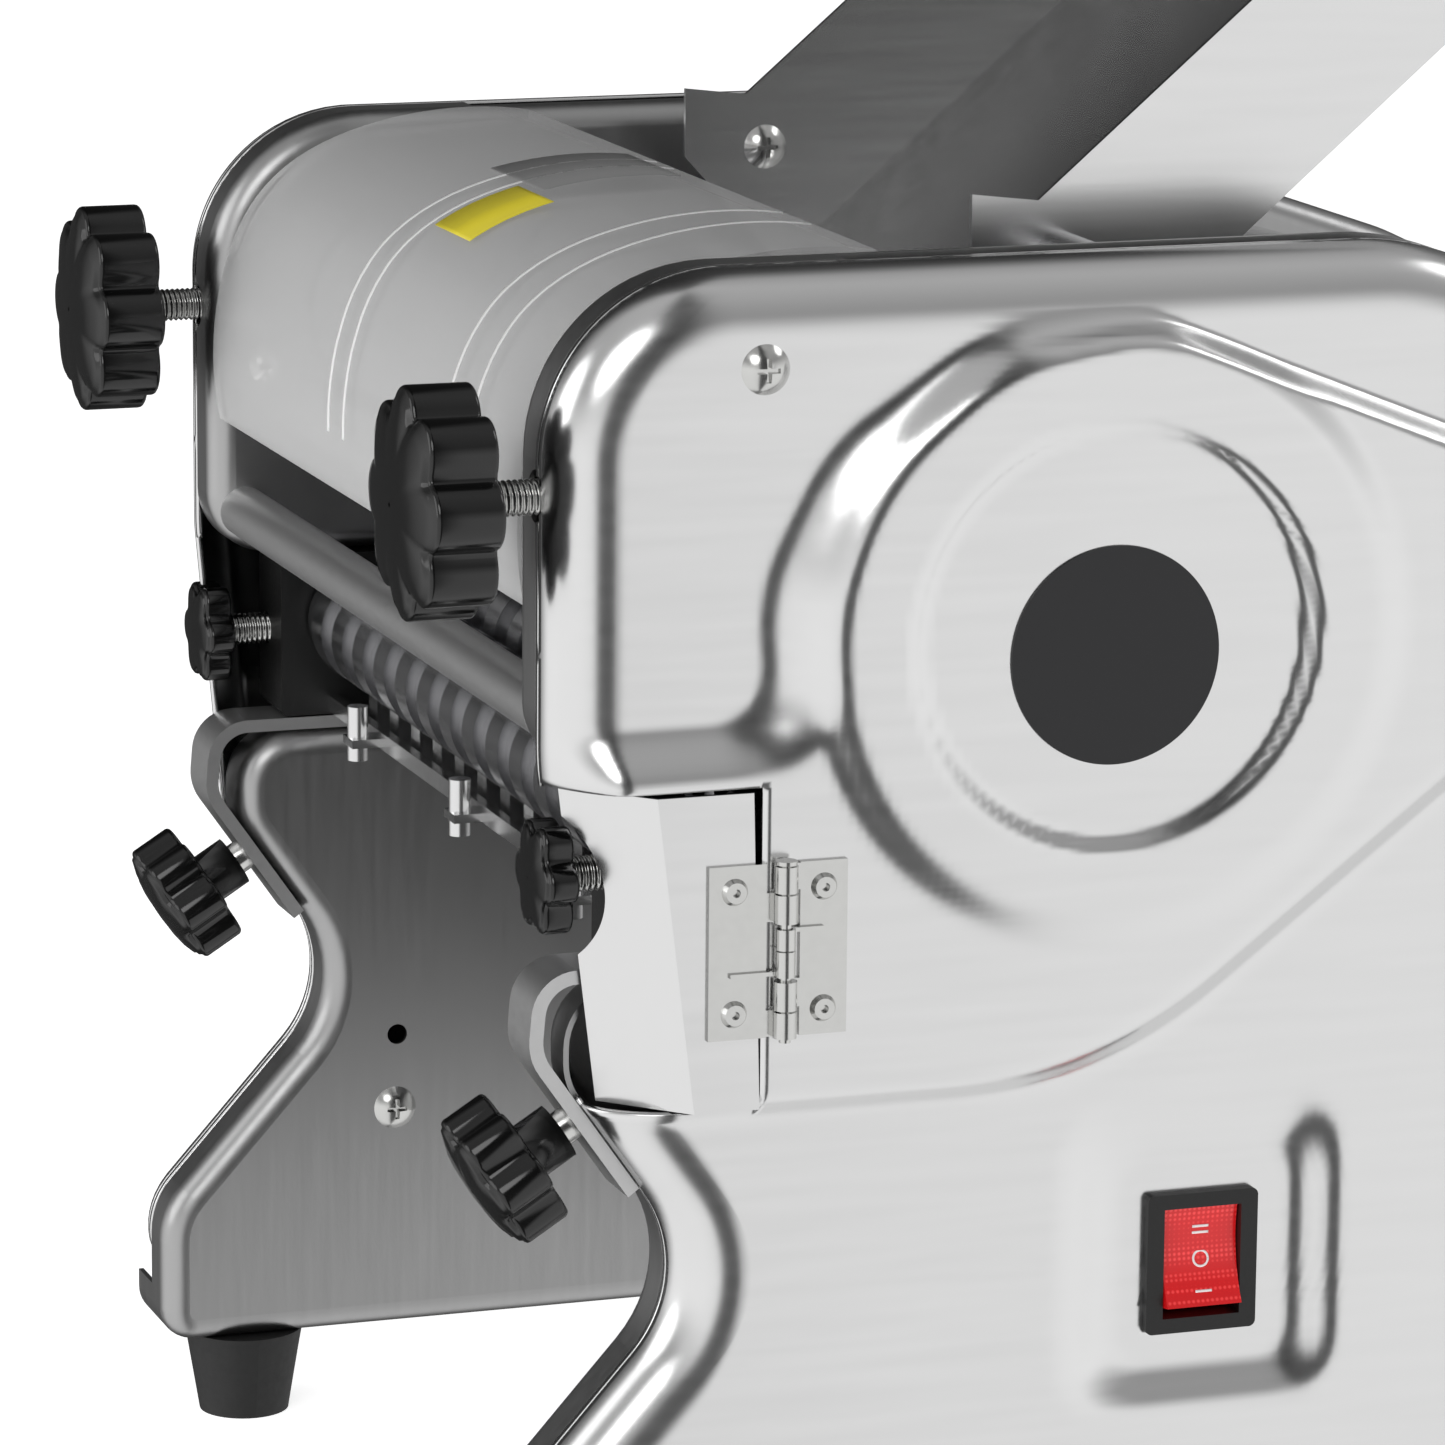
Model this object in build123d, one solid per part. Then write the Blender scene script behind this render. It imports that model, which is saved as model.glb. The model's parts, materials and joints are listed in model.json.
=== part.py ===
from build123d import *
import os
from math import atan2, cos, degrees, pi, radians, sin, sqrt, tan

# A table-top dough sheeter. Millimetres. X runs across the machine with the switch side at +X, Y to the rear, Z up.

# Overall sizes
FRONT = -147.0
REAR = 222.0
TOP = 323.0
PANEL_BOTTOM = 21.0
COVER_BOTTOM = 34.0
INNER = 120.0
SEAM = 134.0
SEAM_GAP = 0.6
OUTER = 148.0
RISE = 6.0
PLATEAU = 2.0
SHEET = 1.2
COVER_FOLD = 12.0
PANEL_FOLD = 6.0
TOP_RADIUS = 39.0

# Notch that the cutter passes through
NOTCH_LOW = 173.0
NOTCH_HIGH = 217.0
NOTCH_REAR = -68.0

# Rollers
ROLLER_RADIUS = 24.0
ROLLER_HALF = 118.0
ROLLER_Z = 276.0
REAR_ROLLER_Y = -48.46
ROLLER_PITCH = 50.0
FRONT_ROLLER_Y = REAR_ROLLER_Y - ROLLER_PITCH
JOURNAL_RADIUS = 8.0
RUNNING_FIT = 0.05
GAP_CLOSE = 1.5
GAP_OPEN = 3.0

# Frame plates and the sliding blocks behind the inner panels
PLATE_IN = 121.2
PLATE_OUT = 126.4
BLOCK_IN = 127.0
BLOCK_OUT = 139.0
BLOCK_HALF_Y = 18.0
BLOCK_HALF_Z = 16.0
SLIDE_FIT = 0.3

# Drive
DRUM_Y = -23.0
DRUM_Z = 244.5
DISH_Y = -26.4
DISH_Z = 244.3
MOTOR_Y = 76.0
MOTOR_Z = 251.0
DRIVE_MODULE = 1.5
PAIR_MODULE = 3.0
IDLER_Y = -50.4
IDLER_Z = 216.7

# Cutter
CUT_Y = -112.0
CUT_Z = 201.0
CUT_PITCH = 25.5
CUT_TILT = 20.0
CUT_REAR_Y = CUT_Y + CUT_PITCH * cos(radians(CUT_TILT))
CUT_REAR_Z = CUT_Z + CUT_PITCH * sin(radians(CUT_TILT))
DISC_RADIUS = 13.6
CORE_RADIUS = 11.6
DISC_WIDTH = 8.6
DISC_PITCH = 17.5
CUT_HALF = 119.0

# Screws and knobs
SCREW_X = 134.0
SCREW_Z = 276.6
BIG_KNOB = 24.5
SMALL_KNOB = 12.5
LOCK_X = 133.5
LOCK_Z = 196.5
THREAD = 3.9
STRAP_X = 128.5
STRAP_HALF = 7.5
CLAMP_ANGLE = 32.0
CLAMP_Y = -136.0
CLAMP_Z = 144.0

# Hinge and hatch
PIN_X = OUTER + RISE + 2.6
PIN_Y = -99.7
PIN_RADIUS = 1.25
KNUCKLE = 2.5
HINGE_LOW = 164.0
HINGE_HIGH = 201.0
HATCH_LOW = 148.4
HATCH_HIGH = 216.0

# Switch and feet
SWITCH_Y = 0.0
SWITCH_Z = 104.0
BEZEL_Y = 25.5
BEZEL_Z = 31.0
POCKET = 4.0
FOOT_HEIGHT = 21.0
FOOT_TOP = 14.5
FOOT_BASE = 11.0
FOOT_X = 132.5

os.makedirs("parts", exist_ok=True)


def mirrored(shape):
    """The same piece on the other side of the machine."""
    return mirror(shape, about=Plane.YZ)


def slab(points, x0, x1, radius=0.0):
    """A Y-Z outline, given as points, extruded across the machine from x0 to x1."""
    line = FilletPolyline(*points, radius=radius, close=True)
    return extrude(Plane.YZ.offset(x0) * make_face(line), amount=x1 - x0)


def box(x0, x1, y0, y1, z0, z1):
    """A block between two corners."""
    return Pos((x0 + x1) / 2, (y0 + y1) / 2, (z0 + z1) / 2) * Box(x1 - x0, y1 - y0, z1 - z0)


def rod_x(y, z, x0, x1, radius):
    """A round bar along X."""
    return Pos((x0 + x1) / 2, y, z) * Rot(0, 90, 0) * Cylinder(radius, x1 - x0)


def rod_y(x, z, y0, y1, radius):
    """A round bar along Y."""
    return Pos(x, (y0 + y1) / 2, z) * Rot(90, 0, 0) * Cylinder(radius, y1 - y0)


def rod_z(x, y, z0, z1, radius):
    """A round bar along Z."""
    return Pos(x, y, (z0 + z1) / 2) * Cylinder(radius, z1 - z0)


def gear(teeth, module, y, z, x0, x1, bore, turn=0.0, slack=0.06):
    """A spur gear along X with straight-flanked teeth and generous backlash."""
    root = module * (teeth / 2 - 1.25)
    pitch = module * teeth / 2
    tip = module * (teeth / 2 + 1) - 0.1 * module
    step = 360.0 / teeth
    points = []
    for i in range(teeth):
        for radius, part in ((root, -0.36), (pitch, -0.25 + slack), (tip, -0.12), (tip, 0.12),
                             (pitch, 0.25 - slack), (root, 0.36)):
            angle = radians(turn + (i + part) * step)
            points.append((y + radius * cos(angle), z + radius * sin(angle)))
    face = make_face(Polyline(*points, close=True))
    body = extrude(Plane.YZ.offset(x0) * face, amount=x1 - x0)
    return body - rod_x(y, z, x0 - 1, x1 + 1, bore)


def knob(radius, lobes, thick, dome):
    """A lobed hand knob along Z, its domed front face upwards, the back on Z = 0."""
    lobe = radius * 0.27
    ring = radius - lobe
    face = Circle(ring * 0.96).face()
    for i in range(lobes):
        angle = 2 * pi * i / lobes
        face = face + Pos(ring * cos(angle), ring * sin(angle)) * Circle(lobe)
    body = extrude(face, amount=thick + dome)
    cap = (radius * radius + dome * dome) / (2 * dome)
    ball = Pos(0, 0, thick + dome - cap) * Sphere(cap)
    return body & ball


def pan_head(radius, height):
    """A cross-recessed pan head along Z, its seat on Z = 0."""
    cap = (radius * radius + height * height) / (2 * height)
    head = Pos(0, 0, height - cap) * Sphere(cap) & Pos(0, 0, height) * Cylinder(radius, 2 * height)
    for turn in (0, 90):
        head = head - Pos(0, 0, height) * Rot(0, 0, turn) * Box(radius * 0.95, radius * 0.2, height)
    return head


def facing(x, y, z, direction):
    """The place of a piece whose own Z should point along a direction."""
    return Plane(origin=(x, y, z), z_dir=direction).location


parts = {}

# Side outlines, counter-clockwise in Y and Z
LEG = [(-160, 54.1), (-110.6, 108.9), (-140.5, 151.5)]
LEG_RADII = [20, 28, 14]
COVER_OUTLINE = [(-160, COVER_BOTTOM), (REAR, COVER_BOTTOM), (REAR, 255), (160, 284), (44, TOP), (FRONT, TOP),
                 (FRONT, 222)] + LEG[::-1]
COVER_RADII = [12.2, 20, 34, 60, 60, TOP_RADIUS, 60] + LEG_RADII[::-1]
PANEL_OUTLINE = [(-160, PANEL_BOTTOM), (REAR, PANEL_BOTTOM), (REAR, 255), (160, 284), (44, TOP), (FRONT, TOP),
                 (FRONT, NOTCH_HIGH), (NOTCH_REAR, NOTCH_HIGH), (NOTCH_REAR, NOTCH_LOW),
                 (-140.5, NOTCH_LOW)] + LEG[::-1]
PANEL_RADII = [8, 8, 34, 60, 60, TOP_RADIUS, 15, 8, 8, 14] + LEG_RADII[::-1]


def outline_face(points, radii):
    """The closed face inside a filleted outline."""
    return make_face(FilletPolyline(*points, radius=radii, close=True))


def tray(face, inner_face, x_open, x_closed, fold):
    """A folded sheet tray: a side plate at x_closed with a flange running to x_open."""
    depth = x_closed - x_open
    sign = 1 if depth > 0 else -1
    outer = extrude(Plane.YZ.offset(x_open) * face, amount=depth)
    far = outer.faces().sort_by(Axis.X)[-1 if sign > 0 else 0]
    outer = fillet(far.edges(), fold)
    inner = extrude(Plane.YZ.offset(x_open - sign) * inner_face, amount=depth + sign - sign * SHEET)
    far = inner.faces().sort_by(Axis.X)[-1 if sign > 0 else 0]
    inner = fillet(far.edges(), fold - SHEET)
    return outer - inner


# The raised field over the drive, wide round the drum and narrow at the motor
CREST = [(-126, 147.4), (-27.3, 147.4), (97.5, 241.5), (97.5, 261.5), (-22, 310.6), (-54, 311), (-88, 292),
         (-97, 258), (-90, 221), (-126, 219)]
CREST_RADII = [4, 100, 20, 14, 30, 30, 40, 40, 16, 4]
crest = outline_face(CREST, CREST_RADII)


def raised(face, x0, rise):
    """A field standing out from x0 with walls at 45 degrees."""
    foot = offset(face, amount=rise)
    return loft([Plane.YZ.offset(x0) * foot, Plane.YZ.offset(x0 + rise) * face], ruled=True)


def cone_x(y, z, x0, x1, r0, r1):
    """A cone along X from radius r0 to radius r1."""
    return Pos((x0 + x1) / 2, y, z) * Rot(0, 90, 0) * Cone(r0, r1, x1 - x0)


def cover(switch_side):
    """The folded outer cover of one side box, built on the +X side."""
    face = outline_face(COVER_OUTLINE, COVER_RADII)
    inner = offset(face, amount=-SHEET)
    shell = tray(face, inner, SEAM + SEAM_GAP / 2, OUTER, COVER_FOLD)
    field_out = raised(crest, OUTER - 0.5, RISE + 0.5)
    field_in = Pos(-SHEET - 0.5, 0, 0) * raised(offset(crest, amount=-0.5), OUTER - 1.5, RISE + 2.0)
    top = OUTER + RISE
    drum_out = cone_x(DISH_Y, DISH_Z, top - 1.0, top + PLATEAU, 67.5, 59.6)
    drum_in = cone_x(DISH_Y, DISH_Z, top - SHEET - 1.0, top + PLATEAU - SHEET, 66.0, 58.4)
    dish_out = cone_x(DISH_Y, DISH_Z, top, top + PLATEAU + 0.1, 43.2, 45.2)
    dish_in = cone_x(DISH_Y, DISH_Z, top - SHEET, top + PLATEAU + 0.1, 44.2, 46.4)
    shell = (shell + field_out + drum_out) - field_in - (drum_in - dish_in) - dish_out
    if switch_side:
        rim = Pos(SWITCH_Y - 1, SWITCH_Z + 1) * RectangleRounded(62, 76, 13)
        floor = Pos(SWITCH_Y, SWITCH_Z + 1) * RectangleRounded(37, 43, 5)
        bowl = loft([Plane.YZ.offset(OUTER + 0.05) * rim, Plane.YZ.offset(OUTER - POCKET) * floor], ruled=True)
        pan = Pos(-SHEET, 0, 0) * bowl
        shell = (shell - bowl) + (pan - bowl - box(OUTER, OUTER + 1, -60, 60, 40, 160))
        shell = shell - box(OUTER - 8, OUTER + 1, SWITCH_Y - 11.2, SWITCH_Y + 11.2, SWITCH_Z - 14.4, SWITCH_Z + 14.4)
        # Opening that the hatch closes
        shell = shell - box(SEAM - 2, OUTER + 10, FRONT - 10, -103.5, HATCH_LOW - 1, HATCH_HIGH + 1)
    else:
        shell = shell - box(SEAM - 2, OUTER - 2.0, FRONT - 10, -120, NOTCH_LOW, NOTCH_HIGH + 1)
    # Keyhole of the gap screw
    shell = shell - rod_y(SCREW_X, SCREW_Z, FRONT - 5, FRONT + 5, 5.6)
    return shell - rod_x(-102.3, 303.1, OUTER - 5, OUTER + 10, 2.6)


def inner_panel():
    """The folded inner panel of one side box, built on the +X side: the flange runs outwards."""
    face = outline_face(PANEL_OUTLINE, PANEL_RADII)
    inner = offset(face, amount=-SHEET)
    # Built as a tray that opens towards +X
    shell = tray(face, inner, OUTER - 1.5, INNER, PANEL_FOLD)
    # Above the bottom lip the flange stops at the seam
    shell = shell - box(SEAM - SEAM_GAP / 2, OUTER + 1, FRONT - 30, REAR + 10, COVER_BOTTOM - 0.6, TOP + 10)
    # Narrow flange along the top
    shell = shell - box(INNER + 7, OUTER, -80, REAR - 40, 262, TOP + 10)
    shell = shell - rod_y(SCREW_X, SCREW_Z, FRONT - 5, FRONT + 5, 5.6)
    holes = [(REAR_ROLLER_Y, ROLLER_Z, JOURNAL_RADIUS + 1.0), (DRUM_Y, DRUM_Z, 7.0), (-101, 95.5, 2.5),
             (-101.6, 77, 2.55), (-138.3 + 4, 263.3, 2.05), (-139, 228, 4.0), (MOTOR_Y, MOTOR_Z, 9.0),
             (-16.8, 315, 2.55)]
    for y, z, radius in holes:
        shell = shell - rod_x(y, z, INNER - 5, INNER + 5, radius)
    return shell - slab([(FRONT_ROLLER_Y - GAP_OPEN - 9.5, ROLLER_Z - 9), (FRONT_ROLLER_Y + GAP_CLOSE + 9.5, ROLLER_Z - 9),
                         (FRONT_ROLLER_Y + GAP_CLOSE + 9.5, ROLLER_Z + 9), (FRONT_ROLLER_Y - GAP_OPEN - 9.5, ROLLER_Z + 9)],
                        INNER - 1, INNER + 3, 8.5)


parts["cover_right"] = cover(True)
parts["cover_left"] = mirrored(cover(False))
panel = inner_panel()
parts["inner_panel_right"] = panel
parts["inner_panel_left"] = mirrored(panel)

# Frame plates: thick steel behind each inner panel that carries every bearing
PLATE_OUTLINE = [(-140.5, 223.5), (NOTCH_REAR + 6.2, 223.5), (NOTCH_REAR + 6.2, 60), (110, 60), (110, 290), (30, 311),
                 (-140.5, 311)]


def frame_plate(motor_side):
    """One frame plate, built on the +X side."""
    plate = slab(PLATE_OUTLINE, PLATE_IN, PLATE_OUT, [12, 3, 8, 8, 8, 8, 34])
    slot_low = FRONT_ROLLER_Y - GAP_OPEN - JOURNAL_RADIUS - 0.8
    slot_high = FRONT_ROLLER_Y + GAP_CLOSE + JOURNAL_RADIUS + 0.8
    plate = plate - slab([(slot_low, ROLLER_Z - 8.5), (slot_high, ROLLER_Z - 8.5), (slot_high, ROLLER_Z + 8.5),
                          (slot_low, ROLLER_Z + 8.5)], PLATE_IN - 1, PLATE_OUT + 1, 8)
    plate = plate - rod_x(REAR_ROLLER_Y, ROLLER_Z, 100, 150, JOURNAL_RADIUS + RUNNING_FIT)
    plate = plate - rod_x(DRUM_Y, DRUM_Z, 100, 150, 6.0 + RUNNING_FIT)
    plate = plate - rod_x(-139, 228, 100, 150, 4.0)
    plate = plate - rod_x(-16.8, 315, 100, 150, 4.0)
    plate = plate - rod_x(-134.3, 263.3, 100, 150, 2.05)
    if motor_side:
        plate = plate - rod_x(MOTOR_Y, MOTOR_Z, 100, 150, 9.0)
        plate = plate - rod_x(IDLER_Y, IDLER_Z, 100, 150, 5.0)
    return plate


parts["frame_plates"] = Compound([frame_plate(True), mirrored(frame_plate(False))])

# Guides for the sliding blocks, and the nuts of the gap screws
rails = []
nuts = []
for side in (False, True):
    for z0, z1 in ((ROLLER_Z - BLOCK_HALF_Z - SLIDE_FIT - 6, ROLLER_Z - BLOCK_HALF_Z - SLIDE_FIT),
                   (ROLLER_Z + BLOCK_HALF_Z + SLIDE_FIT, ROLLER_Z + BLOCK_HALF_Z + SLIDE_FIT + 6)):
        rail = box(PLATE_OUT, BLOCK_OUT - 2, -126, -79.5, z0, z1)
        rails.append(mirrored(rail) if side else rail)
    nut = box(PLATE_OUT, 141, -143, -131, SCREW_Z - 9, SCREW_Z + 9)
    nut = nut - rod_y(SCREW_X, SCREW_Z, -150, -120, THREAD + RUNNING_FIT)
    nuts.append(mirrored(nut) if side else nut)
parts["slide_guides"] = Compound(rails + nuts)

# Rollers with stepped journals
rear = rod_x(REAR_ROLLER_Y, ROLLER_Z, -ROLLER_HALF, ROLLER_HALF, ROLLER_RADIUS)
rear = rear + rod_x(REAR_ROLLER_Y, ROLLER_Z, -146.0, 135.0, JOURNAL_RADIUS)
parts["rear_roller"] = rear
front = rod_x(FRONT_ROLLER_Y, ROLLER_Z, -ROLLER_HALF, ROLLER_HALF, ROLLER_RADIUS)
front = front + rod_x(FRONT_ROLLER_Y, ROLLER_Z, -146.0, 141.0, JOURNAL_RADIUS)
parts["front_roller"] = front
parts["rear_pair_gear"] = gear(16, PAIR_MODULE, REAR_ROLLER_Y, ROLLER_Z, -145.5, -139.8, JOURNAL_RADIUS)
parts["front_pair_gear"] = gear(16, PAIR_MODULE, FRONT_ROLLER_Y, ROLLER_Z, -145.5, -139.8, JOURNAL_RADIUS, 11.25)
drive_line = degrees(atan2(DRUM_Z - ROLLER_Z, DRUM_Y - REAR_ROLLER_Y))
parts["rear_drive_gear"] = gear(36, DRIVE_MODULE, REAR_ROLLER_Y, ROLLER_Z, 128, 133.5, JOURNAL_RADIUS, drive_line)

# Sliding blocks that carry the front roller
blocks = []
for side in (False, True):
    block = box(BLOCK_IN, BLOCK_OUT, FRONT_ROLLER_Y - BLOCK_HALF_Y, FRONT_ROLLER_Y + BLOCK_HALF_Y,
                ROLLER_Z - BLOCK_HALF_Z, ROLLER_Z + BLOCK_HALF_Z)
    block = block - rod_x(FRONT_ROLLER_Y, ROLLER_Z, 100, 150, JOURNAL_RADIUS + RUNNING_FIT)
    block = block - rod_y(SCREW_X, SCREW_Z, -130, FRONT_ROLLER_Y - BLOCK_HALF_Y + 4, THREAD + RUNNING_FIT)
    blocks.append(mirrored(block) if side else block)
parts["carriage_blocks"] = Compound(blocks)

# Countershaft with its pinion cut in one piece, and the belt pulley
shaft = rod_x(DRUM_Y, DRUM_Z, -130, 152.2, 6.0)
pinion = gear(18, DRIVE_MODULE, DRUM_Y, DRUM_Z, 128, 140, 6.0, drive_line + 10.0)
shaft = shaft + pinion
parts["countershaft"] = shaft


def pulley(y, z, x0, x1, radius, bore):
    """A single-groove belt pulley along X."""
    mid = (x0 + x1) / 2
    wheel = rod_x(y, z, x0, x1, radius)
    ring = rod_x(y, z, mid - 3.4, mid + 3.4, radius + 1) - rod_x(y, z, mid - 4, mid + 4, radius - 6)
    return wheel - ring - rod_x(y, z, x0 - 1, x1 + 1, bore)


drum_pulley = pulley(DRUM_Y, DRUM_Z, 141.0, 151.0, 52.0, 6.0)
for i in range(5):
    angle = radians(72 * i + 20)
    drum_pulley = drum_pulley - rod_x(DRUM_Y + 27 * cos(angle), DRUM_Z + 27 * sin(angle), 130, 160, 11)
parts["drum_pulley"] = Pos(1.0, 0, 0) * drum_pulley
parts["motor_shaft"] = rod_x(MOTOR_Y, MOTOR_Z, 96, 152.2, 6.0)
parts["motor_pulley"] = pulley(MOTOR_Y, MOTOR_Z, 142.0, 152.0, 17.0, 6.0)


def belt_loop(r_drum, r_motor):
    """The face inside a loop round both pulleys."""
    span = sqrt((MOTOR_Y - DRUM_Y) ** 2 + (MOTOR_Z - DRUM_Z) ** 2)
    line = atan2(MOTOR_Z - DRUM_Z, MOTOR_Y - DRUM_Y)
    lean = pi / 2 - atan2(r_drum - r_motor, sqrt(span * span - (r_drum - r_motor) ** 2))
    points = []
    for y, z, radius, sign in ((DRUM_Y, DRUM_Z, r_drum, 1), (MOTOR_Y, MOTOR_Z, r_motor, 1),
                               (MOTOR_Y, MOTOR_Z, r_motor, -1), (DRUM_Y, DRUM_Z, r_drum, -1)):
        points.append((y + radius * cos(line + sign * lean), z + radius * sin(line + sign * lean)))
    face = make_face(Polyline(*points, close=True))
    return face + Pos(DRUM_Y, DRUM_Z) * Circle(r_drum) + Pos(MOTOR_Y, MOTOR_Z) * Circle(r_motor)


loop = extrude(Plane.YZ.offset(143.9) * belt_loop(51.0, 16.0), amount=6.2)
parts["belt"] = loop - extrude(Plane.YZ.offset(143) * belt_loop(46.3, 11.3), amount=8)

# Motor between the boxes, flanged to the +X panel
motor = rod_x(MOTOR_Y, MOTOR_Z, -64, 96, 42.0) + rod_x(MOTOR_Y, MOTOR_Z, 96, 112, 36.0)
motor = motor + box(112, 120, MOTOR_Y - 44, MOTOR_Y + 44, MOTOR_Z - 44, MOTOR_Z + 32)
for i in range(18):
    angle = radians(20 * i)
    groove = Pos(0, MOTOR_Y + 42 * cos(angle), MOTOR_Z + 42 * sin(angle)) * Rot(20 * i, 0, 0) * Box(120, 5, 3)
    motor = motor - groove
motor = motor - rod_x(MOTOR_Y, MOTOR_Z, 95, 121, 6.0 + RUNNING_FIT)
parts["motor_body"] = motor

# Idler between the pinion and the cutter
idler_turn = degrees(atan2(IDLER_Z - DRUM_Z, IDLER_Y - DRUM_Y))


def meshed(turn, teeth, line, mate):
    """The turn of a mating gear whose gaps meet the teeth of the first across a line of centres."""
    step = 360.0 / teeth
    past = ((line - turn) % step) / step
    return line + 180.0 + (past + 0.5) * 360.0 / mate


idler_set = meshed(drive_line + 10.0, 18, idler_turn, 34)
parts["idler_gear"] = gear(34, DRIVE_MODULE, IDLER_Y, IDLER_Z, 134.6, 140, 5.0 + RUNNING_FIT, idler_set)
stub = rod_x(IDLER_Y, IDLER_Z, PLATE_IN, 141.4, 5.0) + rod_x(IDLER_Y, IDLER_Z, PLATE_OUT, 134.2, 7.0)
parts["idler_stub"] = stub + rod_x(IDLER_Y, IDLER_Z, 140.3, 141.4, 7.0)


def cutter_shaft(y, z, shift, gear_turn):
    """One cutter roller: journals, a core and square-edged discs, with its gear cut at the +X end."""
    body = rod_x(y, z, -CUT_HALF, CUT_HALF, CORE_RADIUS) + rod_x(y, z, -132, 134.6, 4.0)
    count = 13
    for i in range(count):
        mid = (i - (count - 1) / 2) * DISC_PITCH + shift
        if abs(mid) + DISC_WIDTH / 2 <= CUT_HALF:
            body = body + rod_x(y, z, mid - DISC_WIDTH / 2, mid + DISC_WIDTH / 2, DISC_RADIUS)
    wheel = gear(17, DRIVE_MODULE, y, z, 134.6, 140, 2.0, gear_turn)
    wheel = wheel + rod_x(y, z, 134.6, 140, 3.0)
    return body + wheel


rear_turn = meshed(idler_set, 34, degrees(atan2(CUT_REAR_Z - IDLER_Z, CUT_REAR_Y - IDLER_Y)), 17)
front_turn = meshed(rear_turn, 17, CUT_TILT + 180.0, 17)
parts["cutter_front_roller"] = cutter_shaft(CUT_Y, CUT_Z, 0.0, front_turn)
parts["cutter_rear_roller"] = cutter_shaft(CUT_REAR_Y, CUT_REAR_Z, DISC_PITCH / 2, rear_turn)

# End blocks of the cutter, sitting in the notches
BLOCK_FRONT = -130.0
ends = []
for side in (False, True):
    end = slab([(BLOCK_FRONT, 177), (-73, 177), (-73, 216.4), (BLOCK_FRONT, 216.4)], 120.2, 139.8, 2.0)
    for y, z in ((CUT_Y, CUT_Z), (CUT_REAR_Y, CUT_REAR_Z)):
        end = end - rod_x(y, z, 118, 150, 4.0 + RUNNING_FIT)
    if not side:
        end = end - box(134.2, 141, BLOCK_FRONT + 3, -60, 179, 220)
    end = end - rod_y(LOCK_X, LOCK_Z, -140, BLOCK_FRONT + 2.5, THREAD + RUNNING_FIT)
    ends.append(mirrored(end) if side else end)
parts["cutter_blocks"] = Compound(ends)

# Comb plate under the cutter with two edge bars and three studs
comb = box(-120.2, 120.2, -118, -80, 177.5, 179.5)
comb = comb + box(-120.2, 120.2, -118, -115.5, 179.5, 181.5) + box(-120.2, 120.2, -82.5, -80, 179.5, 181.5)
for i in range(12):
    mid = (i - 5.5) * DISC_PITCH
    comb = comb + box(mid - 3.5, mid + 3.5, -114, -110, 179.5, 188.6)
studs = [comb]
for x in (-82, 0, 82):
    studs.append(rod_z(x, -122, 174, 187, 2.5) + box(x - 4, x + 4, -124.5, -118, 177.5, 179.5) - box(-200, 200, -118, -80, 170, 190))
parts["cutter_comb"] = Compound(studs)

# Front cross rod and hidden tie rods
rod = rod_x(-139, 228, -INNER, INNER, 6.0) + rod_x(-139, 228, -PLATE_OUT, PLATE_OUT, 4.0)
parts["front_rod"] = rod
ties = []
for y, z in ((24, 70), (190, 60), (198, 230)):
    ties.append(rod_x(y, z, -INNER, INNER, 6.0))
parts["tie_rods"] = Compound(ties)

# Scrapers under the rollers
blade = [(-36.0, 254.6), (-31.5, 249.5), (-30.0, 250.6), (-34.8, 256.0)]
scrapers = [slab(blade, -INNER, INNER)]
scrapers.append(slab([(-114.2, 252.6), (-122.0, 243.5), (-123.5, 244.7), (-115.4, 254.2)], -INNER, INNER))
parts["scrapers"] = Compound(scrapers)

# Chute: a channel that slopes down to the rollers
CHUTE_SLOPE = 40.5
CHUTE_HALF = 95.0
CHUTE_WALL = 37.0
CHUTE_LENGTH = 195.0


def on_slope(along, up):
    """A Y-Z point given by its distance along the chute floor and its height above it."""
    angle = radians(CHUTE_SLOPE)
    return (-13 + along * cos(angle) - up * sin(angle), 286.6 + along * sin(angle) + up * cos(angle))


def chute_side(x0, x1):
    """One wall of the chute with a vertical front edge."""
    cut = -37.0
    reach = (cut + 13) / -sin(radians(CHUTE_SLOPE))
    return slab([on_slope(0, -SHEET), on_slope(CHUTE_LENGTH, -SHEET), on_slope(CHUTE_LENGTH, CHUTE_WALL),
                 on_slope(20, CHUTE_WALL), (cut, 286.6 + reach * 1.0 + 6), (cut, 286.6 + reach * 0.72)], x0, x1)


chute = slab([on_slope(0, -SHEET), on_slope(CHUTE_LENGTH, -SHEET), on_slope(CHUTE_LENGTH, 0), on_slope(0, 0)],
             -CHUTE_HALF, CHUTE_HALF)
chute = chute + chute_side(CHUTE_HALF - SHEET, CHUTE_HALF) + chute_side(-CHUTE_HALF, -CHUTE_HALF + SHEET)
for y, z in ((-16.8, 315),):
    chute = chute - rod_x(y, z, -100, 100, 2.55)
parts["chute"] = chute
brackets = []
for side in (False, True):
    for y, z in ((-16.8, 315),):
        bush = rod_x(y, z, CHUTE_HALF, INNER, 6.0) - rod_x(y, z, 90, 130, 2.55)
        brackets.append(mirrored(bush) if side else bush)
parts["chute_bushes"] = Compound(brackets)

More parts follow.
